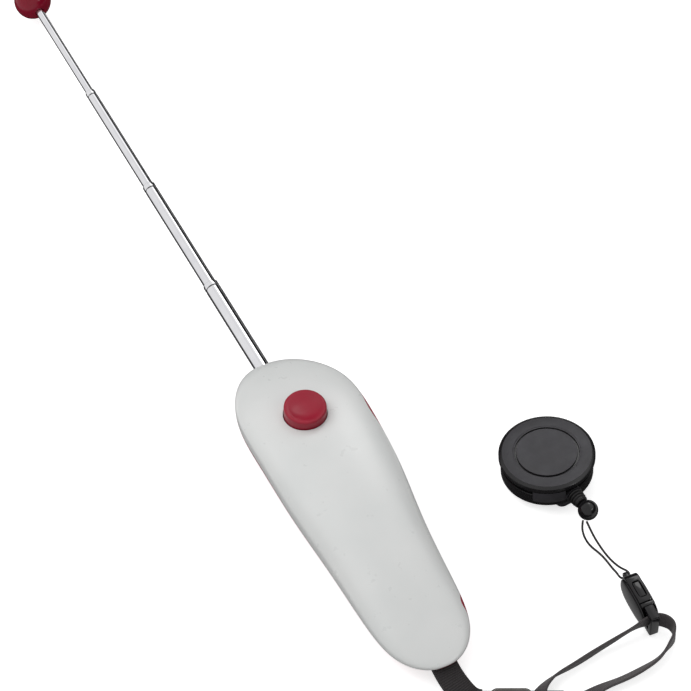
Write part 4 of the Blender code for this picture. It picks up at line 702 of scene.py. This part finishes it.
def make_top_shell():
    """Upper half: the well round the button, four bosses that the screws bite into, and the button's hole."""
    place = shift(0.0, BUTTON_Y / MM, 0.0)
    well = turned("well", [(8.7, 16.9), (9.9, 16.9), (9.9, 26.2), (8.7, 26.2)], 96, place)
    bosses = [upright("boss", 3.4, x, y, top + 0.3, 26.2) for x, y, _, top in screw_sites()]
    shell = make_shell("handle_top", 0.13 * MM, -40 * MM, joined("fill", well, *bosses))
    bores = [upright("bore", 1.2, x, y, 0.0, seat + 9.3, 24) for x, y, seat, _ in screw_sites()]
    hole = upright("hole", 7.25, 0.0, BUTTON_Y / MM, 16.9, 30.0, 128)
    cut(shell, "DIFFERENCE", joined("openings", hole, *bores, *nose_and_slot()), "MANIFOLD")
    finish_piece(smooth_edges(shell, 30.0), "handle", PALE_ABS, "white_plastic", "top_shell")


def make_bottom_shell():
    """Lower half: screw posts, saddles for the guide tube, ears for the strap pin and feet for the clicker."""
    posts = [upright("post", 3.4, x, y, -2.0, top) for x, y, _, top in screw_sites()]
    saddles = [block("saddle", (-5.5, y - 0.9, -2.0), (5.5, y + 0.9, 9.5)) for y in (52.0, 6.0, -37.0)]
    ears = [block("ear", (x - 0.8, -52.7, -2.0), (x + 0.8, -48.3, 10.4)) for x in (-6.8, 6.8)]
    feet = [block("foot", (x - 0.9, 21.75, -2.0), (x + 0.9, 45.75, 3.0)) for x in (-5.24, 5.24)]
    shell = make_shell("handle_bottom", -0.13 * MM, 60 * MM, joined("fill", *posts, *saddles, *ears, *feet))
    pits = [upright("pit", 2.6, x, y, -2.0, seat) for x, y, seat, _ in screw_sites()]
    cut(shell, "DIFFERENCE", joined("openings", *pits, *nose_and_slot()), "MANIFOLD")
    bores = [upright("bore", 1.35, x, y, seat - 2, top + 2, 24) for x, y, seat, top in screw_sites()]
    guide = cylinder("guide", 3.49, (0, -38.8, 9.5), (0, 53.8, 9.5))
    pin = cylinder("pin", 1.27, (-8.4, -50.5, 8.5), (8.4, -50.5, 8.5))
    cut(shell, "DIFFERENCE", joined("bores", *bores, guide, pin), "MANIFOLD")
    finish_piece(smooth_edges(shell, 30.0), "handle", CHERRY_ABS, "red_plastic", "bottom_shell")


def make_screws():
    """Pan-head screws: a threaded shank, a domed head and a cross recess."""
    angle = np.radians(np.linspace(0, 90, 9))
    dome = np.stack([2.3 * np.cos(angle), -1.0 - 0.8 * np.sin(angle)], -1)[:-1]
    height = np.arange(8.0, 0.4, -0.25)
    thread = np.stack([np.where(np.arange(len(height)) % 2, 1.05, 0.84), height], -1)
    neck = [(0.84, 0.3), (1.05, 0.1), (1.05, -0.3), (2.25, -0.3), (2.3, -0.36)]
    profile = np.concatenate([[(0.0, 9.0), (0.45, 9.0)], thread, neck, dome, [(0.0, -1.8)]])
    for index, (x, y, seat, _) in enumerate(screw_sites(), 1):
        place = shift(x, y, seat)
        screw = turned(f"pan_screw_{index}", profile, 40, place)
        for angle in (0.0, 90.0):
            slot = block("recess", (-0.21, -1.25, -2.5), (0.21, 1.25, -1.1), place @ turn("Z", angle + 20 * index))
            cut(screw, "DIFFERENCE", slot)
        finish_piece(smooth_edges(screw), "handle", NICKEL, "spring_steel", f"handle_screw_{index}")


make_top_shell()
make_bottom_shell()
make_screws()


# Rod, ball and button

def along_rod(y):
    """Local +Z of a turned piece runs towards the ball."""
    return Matrix.Translation((0.0, y, ROD_Z)) @ turn("X", -90.0)


def make_rod():
    """Drawn tubes: each has a rolled lip at its mouth and a shallow crimped ring behind it, a Gaussian dip.

    The last has a small chamfer instead.
    """
    radii, lengths = (2.6, 2.2, 1.8, 1.4), (105.0, 101.5, 98.0, 98.5)
    mouths, bodies = (104.8, 153.5, 201.7, 249.85), ("tube_1", "tube_2", "tube_3", "tip")
    wall, gap, crimp_depth, crimp_width, crimp_place = 0.25, 0.2, 0.17, 0.3, -1.9
    for k, (radius, length) in enumerate(zip(radii, lengths)):
        bore = radius - wall
        if k < 3:
            mouth = radii[k + 1] + gap
            roll = (radius - mouth) * 0.62
            z = np.linspace(0.8, -0.8, 17)
            ring = np.stack([radius - crimp_depth * np.exp(-((z / crimp_width) ** 2)), z + crimp_place], -1)
            profile = np.concatenate([
                [(mouth, -0.05), (mouth + 0.04, 0.0)], arc((radius - roll, -roll), roll, 90, 0, 8),
                [(radius, -1.0)], ring, [(radius, -length), (bore, -length), (bore, -1.1), (mouth, -0.6)]])
        else:
            profile = np.array([
                (bore, 0.0), (radius - 0.1, 0.0), (radius - 0.03, -0.04), (radius, -0.12), (radius, -0.6),
                (radius, -length), (bore, -length), (bore, -0.6)])
        tube = turned(f"section_{k + 1}", profile, 64, along_rod(mouths[k] * MM), 40.0)
        finish_piece(tube, bodies[k], CHROME, "chrome_plate", f"rod_tube_{k + 1}")
        if k < 3:
            # Painted shade: the lip's inside and the bore take the dark bare steel, a dark line at each mouth
            second_material(tube, BORE_STEEL_AND_SHADE, along_rod(0.0), lambda reach, _: reach < mouth + 0.05)


def make_ball():
    """The ball: an arc once round the rod, from the rim of the rod's socket to the far pole."""
    radius, socket = 6.55, 1.55
    start = math.degrees(math.asin(socket / radius)) - 90
    surface = arc((0.0, 0.0), radius, start, 90, 72)[:-1]
    rim = [(socket - 0.02, -1.05), (socket, -radius + 0.35)]
    profile = np.concatenate([[(0.0, -1.05)], rim, surface[1:], [(0.0, radius)]])
    finish_piece(turned("ball", profile, 128, along_rod(251.2 * MM)), "tip", WINE_LACQUER, "red_plastic", "target_ball")


def make_button():
    """The button: a dish 1 mm deep times (1 - share^2.6)^1.2 of its radius, a rounded rim, a flange and a stem."""
    radius = BUTTON_RADIUS / MM
    share = np.linspace(0, 1, 25)[:-1]
    dish = np.stack([radius * 0.84 * share, -1.0 * (1 - share**2.6) ** 1.2 - 0.04], -1)
    rim = arc((radius - 0.75, -0.75), 0.75, 118, 0, 14)
    lower = [(radius, -7.3), (8.2, -7.3), (8.2, -8.5), (3.0, -8.5), (3.0, -9.3), (0.0, -9.3)]
    place = Matrix.Translation((0.0, BUTTON_Y, BUTTON_RIM_Z))
    button = turned("button", np.concatenate([dish, rim, lower]), 144, place, 30.0)
    finish_piece(button, "button", CHERRY_ABS, "red_plastic", "clicker_button")


make_rod()
make_ball()
make_button()


# Webbing, folds and ring

def make_tail_webbing():
    """One length of webbing from its fold, round the strap pin and back, so that two plies lie on each other."""
    half_apart, bend = 0.56 * MM, 2.06 * MM
    points = smooth_route(WEBBING_ROUTE, 3.0 * MM)[0]
    heading = np.gradient(points, axis=0)
    up = np.cross(heading / np.linalg.norm(heading, axis=1)[:, None], (1.0, 0.0, 0.0)) * half_apart
    angle = np.radians(np.linspace(-146, 146, 13))
    round_pin = np.stack([0 * angle, PIN_Y + bend * np.cos(angle), TAIL_WAIST_Z + bend * np.sin(angle)], -1)
    lower, upper = (np.array([(0.0, -54.6, z)]) * MM for z in (7.6, 8.92))
    route = np.concatenate([(points - up)[::-1], lower, round_pin, upper[::-1], points + up])
    path, at, _, _ = smooth_route(route / MM, 0.1875 * MM)
    heading = np.gradient(path, axis=0)
    heading /= np.linalg.norm(heading, axis=1)[:, None]
    wide = np.array([1.0, 0.0, 0.0]) - heading * heading[:, :1]
    wide /= np.linalg.norm(wide, axis=1)[:, None]
    webbing = woven_band("strap_webbing", path, at, wide, np.cross(wide, heading), 8.4 * MM, 1.06 * MM, 0.75,
                         0.12 * MM)
    finish_piece(webbing, "handle", WEBBING, "black_webbing", "tail_webbing")


def make_fold(node_name, bar, far):
    """A sewn fold: a long outline, round at the ring's bar and blunt at the far end, carried across the width.

    The last half millimetre at both edges draws in as a parabola. The bar's bore and the slit between the two plies
    are cut into it.
    """
    side = np.sign(far - bar)
    half, half_width = 1.3, 3.5
    angle = np.radians(np.linspace(90, 270, 25))
    round_end = np.stack([bar + side * half * np.cos(angle), half * np.sin(angle)], -1)
    run = np.linspace(0, 1, 30)[1:-1]
    end = far - side * 0.35
    lower = np.stack([bar + (end - bar) * run, -half + 0 * run], -1)
    blunt = np.array([(end, -half), (far - side * 0.1, -half * 0.9), (far, -half * 0.55), (far, half * 0.55),
                      (far - side * 0.1, half * 0.9), (end, half)])
    upper = np.stack([end + (bar - end) * run, half + 0 * run], -1)
    outline = np.concatenate([round_end, lower, blunt, upper])
    middle = np.array([(bar + far) / 2, 0.0])
    share = np.linspace(-1, 1, 41)
    draw = 1 - 0.09 * np.clip((np.abs(share) - 0.86) / 0.14, 0, 1) ** 2
    section = middle + (outline - middle) * np.stack([0.3 * draw + 0.7, draw], -1)[:, None]
    rings = np.stack([section[..., 0], half_width * share[:, None] + 0 * section[..., 0], section[..., 1]], -1)
    rings = moved(rings.reshape(-1, 3) * MM, RING).reshape(rings.shape)
    along = section_length(outline[:, 0] * MM, outline[:, 1] * MM)
    fold = tube_surface(node_name + "_tape", rings, half_width * (share + 1), along, swap_uv=True)
    slit = sorted((bar + side * 1.6, far + side))
    for low, high in ((-4.0, -3.1), (3.1, 4.0)):
        cut(fold, "DIFFERENCE", block("slit", (slit[0], low, -0.07), (slit[1], high, 0.07), RING))
    cut(fold, "DIFFERENCE", cylinder("bar", 0.9, (bar, -7, 0), (bar, 7, 0), RING, 40))
    finish_piece(smooth_edges(fold, 40.0), "handle", WEBBING, "black_webbing", node_name)


def make_stitches():
    """Lock stitches across both folds: each is a spindle, its radius a superellipse of the place along it."""
    rows = []
    for bar, far in FOLDS.values():
        side = np.sign(far - bar)
        for station in (bar + side * 2.3, far - side * 1.0):
            rows += [(station, y, z) for y in np.arange(-2.7, 2.8, 0.9) for z in (-1.31, 1.31)]
    centre = np.array(rows)
    run = np.linspace(-1, 1, 7)
    radius = (1 - run**4) ** 0.5
    angle = np.linspace(0, 2 * np.pi, 6, endpoint=False)
    shape = np.stack([0.13 * radius[:, None] * np.cos(angle), 0.36 * run[:, None] + 0 * angle,
                      0.12 * radius[:, None] * np.sin(angle)], -1).reshape(-1, 3)
    points = (centre[:, None] + shape).reshape(-1, 3)
    faces = grid_faces(len(run), len(angle))
    faces = (faces[None] + (np.arange(len(centre)) * len(shape))[:, None, None]).reshape(-1, 4)
    stitches = outward(mesh_object("fold_stitches", moved(points * MM, RING), faces))
    finish_piece(smooth_edges(stitches, 60.0), "handle", THREAD, "black_webbing")


def make_ring():
    """Wire ring: a circle carried round a rectangle whose corners are quarter circles."""
    corner, half_x, half_y, wire_radius = 1.8, 6.0, 4.5, 0.6
    outline = []
    for x, y, first in ((1, 1, 0), (-1, 1, 90), (-1, -1, 180), (1, -1, 270)):
        angle = np.radians(first + np.linspace(0, 90, 15))
        outline.append(np.stack([x * (half_x - corner) + corner * np.cos(angle),
                                 y * (half_y - corner) + corner * np.sin(angle), 0 * angle], -1))
    path = np.concatenate(outline)
    heading = np.roll(path, -1, 0) - np.roll(path, 1, 0)
    heading /= np.linalg.norm(heading, axis=1)[:, None]
    out = np.cross(heading, (0.0, 0.0, 1.0))
    angle = np.linspace(0, 2 * np.pi, 28, endpoint=False)
    round_wire = out[:, None] * np.cos(angle)[:, None] + np.array([0.0, 0.0, 1.0]) * np.sin(angle)[:, None]
    rings = path[:, None] + wire_radius * round_wire
    rings = moved(rings.reshape(-1, 3) * MM, RING).reshape(rings.shape)
    ring = tube_surface("strap_ring", rings, closed_rows=True)
    finish_piece(smooth_edges(ring, 60.0), "handle", NICKEL, "chrome_plate", "wire_ring")


make_tail_webbing()
for fold_name, (bar, far) in FOLDS.items():
    make_fold(fold_name, bar, far)
make_stitches()
make_ring()


# Clasp, standing on its edge: its width runs along local Z and its thickness along local X

def side_panel(side):
    """An oval panel on a wide face, clear of the flange: superellipses that shrink as a quarter circle and rise."""
    y, z = squircle(96, 2.7)
    lift = np.linspace(0, np.pi / 2, 12)[:-1]
    size = np.concatenate([[1.0], 0.86 + 0.14 * np.cos(lift), np.linspace(0.8, 0.1, 8)])
    height = np.concatenate([[2.2], 2.42 + 0.34 * np.sin(lift), 2.76 + 0.14 * (1 - np.linspace(0.8, 0.1, 8) ** 2)])
    rings = np.stack([side * height[:, None] + 0 * y, 4.2 + 8.3 * size[:, None] * y, 4.35 * size[:, None] * z], -1)
    place = moved(rings.reshape(-1, 3) * MM, CLASP).reshape(rings.shape)
    panel = tube_surface("panel", place)
    low, high = sorted((side * 1.0, side * 2.38))
    return cut(panel, "DIFFERENCE", block("flange_room", (low, -6.0, -6.0), (high, 0.2, 6.0), CLASP))


def make_clasp_socket():
    """Socket: a rounded slab with a panel on each face, hollowed for the prongs, two windows and the cord's eye."""
    half_w, half_t, length = 5.2, 2.3, 12.2
    corner = half_w * 0.55
    top = arc((length - corner, half_w - corner), corner, 90, 0, 14)
    outline = np.concatenate([[(0.0, -half_w), (0.0, half_w)], top, (top * (1, -1))[::-1]])
    socket = plate("clasp_shell", outline, -half_t, half_t, CLASP)
    rounded(socket, 0.45 * MM, 4, 50.0)
    for side in (-1, 1):
        cut(socket, "UNION", side_panel(side))
    inner_w, inner_t = half_w - 0.9, half_t - 0.9
    cut(socket, "DIFFERENCE", block("hollow", (-inner_t, -4.0, -inner_w), (inner_t, 9.2, inner_w), CLASP))
    x, y = squircle(48, 5.0)
    window = np.stack([1.8 + 3.2 * (1 + y), 1.45 * x], -1)
    for low, high in ((-9.0, -inner_w + 0.45), (inner_w - 0.45, 9.0)):
        cut(socket, "DIFFERENCE", plate("window", window, low, high, CLASP @ turn("Y", 90.0)))
    eye_end = arc((15.2 - 1.8, 0.0), 1.8, -90, 90, 17)
    eye = plate("eye", np.concatenate([[(10.7, -1.8)], eye_end, [(10.7, 1.8)]]), -0.6, 0.6, CLASP)
    rounded(eye, 0.15 * MM, 2, 50.0)
    cut(socket, "UNION", eye)
    cut(socket, "DIFFERENCE", cylinder("bore", 0.95, (-2, 13.55, 0), (2, 13.55, 0), CLASP, 40))
    finish_piece(smooth_edges(socket, 30.0), "reel", GLOSS_ACETAL, "black_gloss", "clasp_socket")


def prong(side):
    """One prong: a rounded rectangle along its length, that bulges towards the window as a squared sine."""
    share = np.linspace(-0.06, 1.0, 34)
    bulge = np.sin(np.pi * np.clip((share - 0.35) / 0.65, 0, 1) ** 1.6) ** 2
    taper = np.clip((1 - share) / 0.08, 0.1, 1) ** 0.5
    x, z = squircle(28, 5.0)
    outer = 4.0 - 0.55 * (1 - bulge)
    centre = side * (outer - 0.65)
    rings = np.stack([1.15 * taper[:, None] * x, -0.3 + 8.6 * share[:, None] + 0 * x,
                      centre[:, None] + 0.65 * taper[:, None] * z], -1)
    return tube_surface("prong", moved(rings.reshape(-1, 3) * MM, CLASP).reshape(rings.shape))


def make_clasp_tongue():
    """Tongue: a flange against the socket's mouth, a plate with the strap's slot, two prongs and a core."""
    tongue = rounded(block("clasp_insert", (-2.3, -1.6, -5.2), (2.3, -0.3, 5.2), CLASP), 0.25 * MM, 3, 50.0)
    tail_end = [(-1.0, 4.8), *arc((-5.9, 3.9), 0.9, 90, 180, 8), *arc((-5.9, -3.9), 0.9, 180, 270, 8), (-1.0, -4.8)]
    tail = rounded(plate("tail", np.array(tail_end), -1.5, 1.5, CLASP), 0.3 * MM, 3, 50.0)
    cut(tongue, "UNION", tail)
    for side in (-1, 1):
        pad = rounded(block("pad", (-1.15, 2.15, 3.6), (1.15, 7.85, 5.05), CLASP @ turn("Y", 90 - 90 * side)),
                      0.25 * MM, 3, 50.0)
        cut(tongue, "UNION", cut(prong(side), "UNION", pad))
    cut(tongue, "UNION", block("core", (-1.0, -0.9, -0.9), (1.0, 6.7, 0.9), CLASP))
    cut(tongue, "DIFFERENCE", block("slot", (-3.0, -5.2, -2.85), (3.0, -2.6, 2.85), CLASP))
    finish_piece(smooth_edges(tongue, 30.0), "handle", GLOSS_ACETAL, "black_gloss", "clasp_tongue")


make_clasp_socket()
make_clasp_tongue()


# Belt reel

def make_reel_cover():
    """Cover: a flat disc in a fine groove, a faint step, a flat ring, a sloping edge and a skirt.

    The groove, the edge and what lies under it are smooth and take the darker black, which is painted shade there, and
    the rest is satin.
    """
    top, bottom, skirt, slope = 9.2, 7.0, 13.1, 14.5
    profile = [(0.0, top), (9.78, top), (9.84, top - 0.06), (9.88, top - 0.6), (10.46, top - 0.6),
               (10.46, top - 0.2), (10.54, top - 0.15), (10.9, top - 0.15), (11.05, top), (slope, top),
               (slope + 0.1, top - 0.03), (15.35, top - 0.36), (15.58, top - 0.56), (15.65, top - 0.8),
               (15.65, bottom + 0.12), (15.55, bottom), (skirt, bottom), (skirt, bottom - 0.7),
               (skirt - 0.1, bottom - 0.8), (skirt - 0.8, bottom - 0.8), (skirt - 0.8, bottom), (0.0, bottom)]
    cover = turned("reel_lid", profile, 160, REEL, 24.0)
    finish_piece(cover, "reel", SATIN_ABS, "black_plastic", "reel_cover")
    # Painted shade: the groove, the sloping edge and the faces under the edge take the darker black
    second_material(cover, CASE_BLACK_AND_SHADE, REEL, lambda reach, height: (reach > slope) | (height < top - 0.9) | (
        (reach > 9.8) & (reach < 10.5) & (height < top - 0.04)))


def make_reel_case():
    """Case: a tub stepped in under the cover, a satin pad on its side, a collar at the cord's mouth, two clip lugs."""
    hole, band, inner = 1.8, 14.2, 13.4
    profile = [(hole, 0.0), (14.4, 0.0), *arc((14.4, 0.6), 0.6, -75, 0, 6), (15.0, 4.65), (14.9, 4.8), (band, 4.8),
               (band, 6.6), (band - 0.1, 6.7), (inner, 6.7), (inner, 1.3), (hole, 1.3)]
    case = turned("reel_tub", profile, 144, REEL)
    pad = block("pad", (-5.3, -15.6, 2.2), (5.3, -13.5, 6.65), REEL @ turn("Z", -31.0))
    cut(pad, "INTERSECT", cylinder("curve", 15.45, (0, 0, -1), (0, 0, 8), REEL, 240))
    cut(case, "UNION", pad)
    cut(case, "UNION", cylinder("collar", 2.95, (0, -15.6, 3.4), (0, -13.5, 3.4), REEL, 64))
    lug = np.concatenate([[(4.0, 0.5), (8.0, 0.5), (7.4, -0.7)], arc((6.0, -1.4), 1.0, -5, -175, 14), [(4.6, -0.7)]])
    for x0, x1 in ((-6.7, -5.2), (5.2, 6.7)):
        cut(case, "UNION", plate("lug", lug, x0, x1, REEL))
    cut(case, "DIFFERENCE", cylinder("mouth", 1.75, (0, -19, 3.4), (0, -12.6, 3.4), REEL, 48))
    cut(case, "DIFFERENCE", cylinder("pin", 0.67, (-9, 6, -1.4), (9, 6, -1.4), REEL, 32))
    finish_piece(smooth_edges(case, 26.0), "reel", CASE_BLACK_AND_SHADE, "black_plastic", "reel_case")
    second_material(case, SATIN_ABS, REEL, lambda reach, height: (reach > 15.3) & (height > 2.0))


def make_boot_and_bead():
    """Boot: four ribs, each a flat-topped bump of its share of the pitch; and a round bead, flat where it rests."""
    share = np.linspace(0, 1, 13)[:-1]
    bump = np.exp(-(((share - 0.38) / 0.33) ** 4))
    ribs = [np.stack([1.9 + (radius - 1.9) * bump, 0.3 + (index + share) * 1.05], -1)
            for index, radius in enumerate((2.7, 2.6, 2.5, 2.3))]
    profile = np.concatenate([[(0.0, -1.6), (1.4, -1.6), (1.4, 0.3)], *ribs, [(1.52, 4.5), (0.0, 4.5)]])
    boot = turned("cord_boot", profile, 72, REEL_MOUTH, 40.0)
    finish_piece(boot, "reel", BOOT_RUBBER, "black_rubber", "reel_boot")
    flat = -3.3 * math.cos(math.radians(20.0))
    surface = arc((0.0, 0.0), 3.3, -70, 90, 48)
    surface[-1, 0] = 0.0
    profile = np.concatenate([[(0.0, flat)], surface])
    bead = turned("round_bead", profile, 96, REEL_MOUTH @ shift(0.0, 0.0, 4.8 - flat), 30.0)
    finish_piece(bead, "reel", GLOSS_ACETAL, "black_gloss", "stop_bead")


def make_belt_clip():
    """Clip: a lever, round at its bent and flared end, with two hubs round the pin and a pocket for the spring."""
    side = np.array([(5.0, 0.0), (5.0, -0.9), (-16.0, -0.9), (-18.2, -2.8), (-19.0, -2.8), (-19.0, -1.9),
                     (-17.7, 1.1), (-16.4, 1.1), (-14.32, 0.0)])
    lever = rounded(plate("clip_lever", side, -4.9, 4.9, CLIP), 0.22 * MM, 3, 25.0)
    round_end = np.concatenate([[(6.0, -5.2), (6.0, 5.2)], arc((-14.0, 0.0), 5.2, 90, 270, 32)])
    cut(lever, "INTERSECT", plate("plan", round_end, -6.0, 6.0, CLIP @ turn("Y", 90.0)))
    for x0, x1 in ((-4.9, -1.98), (1.98, 4.9)):
        cut(lever, "UNION", cylinder("hub", 1.1, (x0, 0, 0), (x1, 0, 0), CLIP, 40))
    cut(lever, "DIFFERENCE", cylinder("bore", 0.67, (-9, 0, 0), (9, 0, 0), CLIP, 32))
    cut(lever, "DIFFERENCE", block("pocket", (-1.68, -1.5, -1.5), (1.68, 1.5, 1.5), CLIP))
    finish_piece(smooth_edges(lever, 30.0), "clip", SATIN_ABS, "black_plastic", "belt_clip")


def make_wound_cord():
    """Cord on the spool: a closed outline of half circles, each a turn of the cord, carried once round the spool."""
    angle = np.linspace(np.pi, 0, 7)[:-1]
    turns = np.arange(8.05, 11.4, 0.7)
    upper = np.concatenate([np.stack([r + 0.35 * np.cos(angle), 3.55 + 0.35 * np.sin(angle)], -1) for r in turns])
    outer = np.array([(11.55, 3.45), (11.6, 3.2), (11.55, 2.95)])
    lower = (upper * (1, -1) + (0.0, 6.4))[::-1]
    wound = turned("cord_turns", np.concatenate([upper, outer, lower]), 120, REEL, 50.0)
    finish_piece(wound, "spool", BRAID, "black_cord", "wound_cord")


make_reel_cover()
make_reel_case()
make_boot_and_bead()
make_belt_clip()
make_wound_cord()


# Solids that are shown as they are

def dress_solids():
    """The inner parts keep their solids and get the material of what they are."""
    finishes = {
        BOOT_RUBBER: ("guide_end_cap",), NATURAL_ACETAL: ("clicker_bridge",), CHROME: ("guide_tube",),
        SPRING_STEEL: ("clicker_leaf", "reel_spring", "clip_spring"), NICKEL: ("strap_pin", "reel_axle", "clip_pin"),
        BRASS: tuple(f"rod_stop_{k}" for k in range(1, 5)), SATIN_ABS: ("reel_spool",)}
    for material, names in finishes.items():
        for name in names:
            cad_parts[name].material_slots[0].material = material


dress_solids()


# Floor and light

def make_floor():
    """White floor: rays from the camera find it white, and its diffuse part takes the object's shadow.

    Mirrored rays find it dimmer, most of all beside the object, where the dimming is painted shade standing in for its
    shadow: the distance across the floor from boxes round the object leads from NEAR_DIM beside it to OPEN_DIM in the
    open.
    """
    made = bpy.data.materials.new("studio_floor")
    made.use_nodes = True
    tree = made.node_tree
    tree.nodes.clear()
    rays = node(tree, "ShaderNodeLightPath")
    place = node(tree, "ShaderNodeTexCoord").outputs["Object"]
    distance = None
    for centre, half in FLOOR_BOXES:
        offset = node(tree, "ShaderNodeVectorMath", {"operation": "SUBTRACT"}, {1: centre}, {0: place})
        size = node(tree, "ShaderNodeVectorMath", {"operation": "ABSOLUTE"}, links={0: offset})
        beyond = node(tree, "ShaderNodeVectorMath", {"operation": "SUBTRACT"}, {1: half}, {0: size})
        clipped = node(tree, "ShaderNodeVectorMath", {"operation": "MAXIMUM"}, links={0: beyond})
        away = node(tree, "ShaderNodeVectorMath", {"operation": "LENGTH"}, links={0: clipped}).outputs[1]
        distance = away if distance is None else node(
            tree, "ShaderNodeMath", {"operation": "MINIMUM"}, links={0: distance, 1: away})
    # Painted shade: for mirrored rays the floor darkens beside the object, in place of its shadow there
    open_floor = node(tree, "ShaderNodeMapRange", {"interpolation_type": "SMOOTHSTEP"}, {
        "From Min": NEAR_MM * MM, "From Max": OPEN_MM * MM, "To Min": NEAR_DIM, "To Max": OPEN_DIM},
        {"Value": distance})
    dim = node(tree, "ShaderNodeMix", inputs={2: 1.0}, links={0: rays.outputs["Is Glossy Ray"], 3: open_floor})
    seen = node(tree, "ShaderNodeMath", {"operation": "MAXIMUM"},
                links={0: rays.outputs["Is Camera Ray"], 1: rays.outputs["Is Glossy Ray"]})
    seen = node(tree, "ShaderNodeMath", {"operation": "MAXIMUM"},
                links={0: seen, 1: rays.outputs["Is Transmission Ray"]})
    glow = node(tree, "ShaderNodeMath", {"operation": "MULTIPLY"}, {1: FLOOR_GLOW}, {0: seen})
    glow = node(tree, "ShaderNodeMath", {"operation": "MULTIPLY"}, links={0: glow, 1: dim})
    white = node(tree, "ShaderNodeMath", {"operation": "MULTIPLY"}, {1: PAPER_WHITE}, {0: dim})
    paper = node(tree, "ShaderNodeBsdfDiffuse", links={"Color": white})
    light = node(tree, "ShaderNodeEmission", links={"Strength": glow})
    both = node(tree, "ShaderNodeAddShader", links={0: paper, 1: light})
    node(tree, "ShaderNodeOutputMaterial", links={"Surface": both})
    corners = [(x, y, FLOOR_Z) for x, y in ((-2.0, -2.0), (2.0, -2.0), (2.0, 2.0), (-2.0, 2.0))]
    floor = mesh_object("floor", corners, [(0, 1, 2, 3)])
    floor.data.materials.append(made)


def make_world():
    """White all round for rays from the camera, and a dome that brightens with height for diffuse light.

    Mirrored rays find a wide soft box with a dim join in it, a brighter one to the right of it, and a dark flag low
    down on the right and ahead.
    """
    world = bpy.data.worlds.new("studio")
    bpy.context.scene.world = world
    world.use_nodes = True
    tree = world.node_tree
    background = tree.nodes["Background"]
    background.inputs["Color"].default_value = (1.0, 1.0, 1.0, 1.0)
    rays = node(tree, "ShaderNodeLightPath")
    direction = node(tree, "ShaderNodeSeparateXYZ", links={0: node(tree, "ShaderNodeTexCoord").outputs["Generated"]})
    smooth = {"interpolation_type": "SMOOTHSTEP"}
    side, front, height = ({"Value": direction.outputs[axis]} for axis in "XYZ")

    def rising(between, source, low=0.0, high=1.0):
        return node(tree, "ShaderNodeMapRange", smooth, {
            "From Min": between[0], "From Max": between[1], "To Min": low, "To Max": high}, source)

    dome = rising(DOME_Z, height, *DOME)
    mirror = rising(BRIGHT_X, side, *MIRROR)
    right = node(tree, "ShaderNodeMath", {"operation": "MAXIMUM"},
                 links={0: rising(FLAG_X, side), 1: rising(FLAG_Y, front)})
    low = rising(FLAG_Z, height, 1.0, 0.0)
    across = node(tree, "ShaderNodeMath", {"operation": "SUBTRACT"}, {1: JOIN_X}, {0: side["Value"]})
    across = node(tree, "ShaderNodeMath", {"operation": "ABSOLUTE"}, links={0: across})
    join = rising(JOIN_REACH, {"Value": across}, JOIN_DIM, 1.0)
    mirror = node(tree, "ShaderNodeMath", {"operation": "MULTIPLY"}, links={0: mirror, 1: join})
    flag = node(tree, "ShaderNodeMath", {"operation": "MULTIPLY"}, links={0: right, 1: low})
    mirror = node(tree, "ShaderNodeMix", inputs={3: FLAG}, links={0: flag, 2: mirror})
    glossy = node(tree, "ShaderNodeMix", links={0: rays.outputs["Is Glossy Ray"], 2: dome, 3: mirror})
    seen = node(tree, "ShaderNodeMix", inputs={3: 1.0}, links={0: rays.outputs["Is Camera Ray"], 2: glossy})
    tree.links.new(seen.outputs[0], background.inputs["Strength"])


def make_lamp(name, place, target, size, power, glint):
    """A soft square lamp that faces target, mirrored in the object where glint is true."""
    data = bpy.data.lights.new(name, "AREA")
    data.shape, data.size, data.energy = "SQUARE", size, power
    lamp = bpy.data.objects.new(name, data)
    lamp.location = place
    lamp.rotation_euler = (Vector(target) - Vector(place)).to_track_quat("-Z", "Y").to_euler()
    lamp.visible_glossy = glint
    bpy.context.scene.collection.objects.link(lamp)


# The floor's own light, its white and its height; its share of that beside the object, where it is painted shade, and
# in the open for mirrored rays, how far from the boxes each holds, and the boxes round the object, each a centre and a
# half size
FLOOR_GLOW, PAPER_WHITE, FLOOR_Z = 0.65, 0.8, -0.0001
NEAR_DIM, OPEN_DIM, NEAR_MM, OPEN_MM = 0.04, 0.6, 9.0, 22.0
FLOOR_BOXES = (((0.0705, 0.165, 0.0), (0.0795, 0.095, 1.0)), ((0.0, 0.001, 0.0), (0.014, 0.06, 1.0)),
               ((0.066, -0.01, 0.0), (0.018, 0.018, 1.0)), ((0.038, -0.058, 0.0), (0.008, 0.02, 1.0)))
# Strengths of the dome at the horizon and overhead, of the wide and the bright soft box, of the flag, and the join's
# share; then where each begins and ends, as a part of the direction along X, Y or Z
DOME, MIRROR, FLAG, JOIN_DIM = (0.3, 0.58), (0.92, 1.3), 0.01, 0.8
DOME_Z, BRIGHT_X, JOIN_X, JOIN_REACH = (0.0, 0.5), (0.24, 0.36), -0.12, (0.02, 0.06)
FLAG_X, FLAG_Y, FLAG_Z = (-0.1, 0.35), (0.7, 0.9), (0.45, 0.65)
make_floor()
make_world()
make_lamp("key", (-0.42, 0.35, 0.85), (0.0, 0.0, 0.0), 0.9, 5.4, False)
make_lamp("spark", (0.45, -0.55, 0.65), (0.03, 0.0, 0.0), 0.05, 0.4, True)
make_lamp("ridge", (0.486, 0.549, 0.7), (0.0, 0.0, 0.02), 0.3, 0.74, True)

bpy.context.scene.view_settings.view_transform = "Standard"
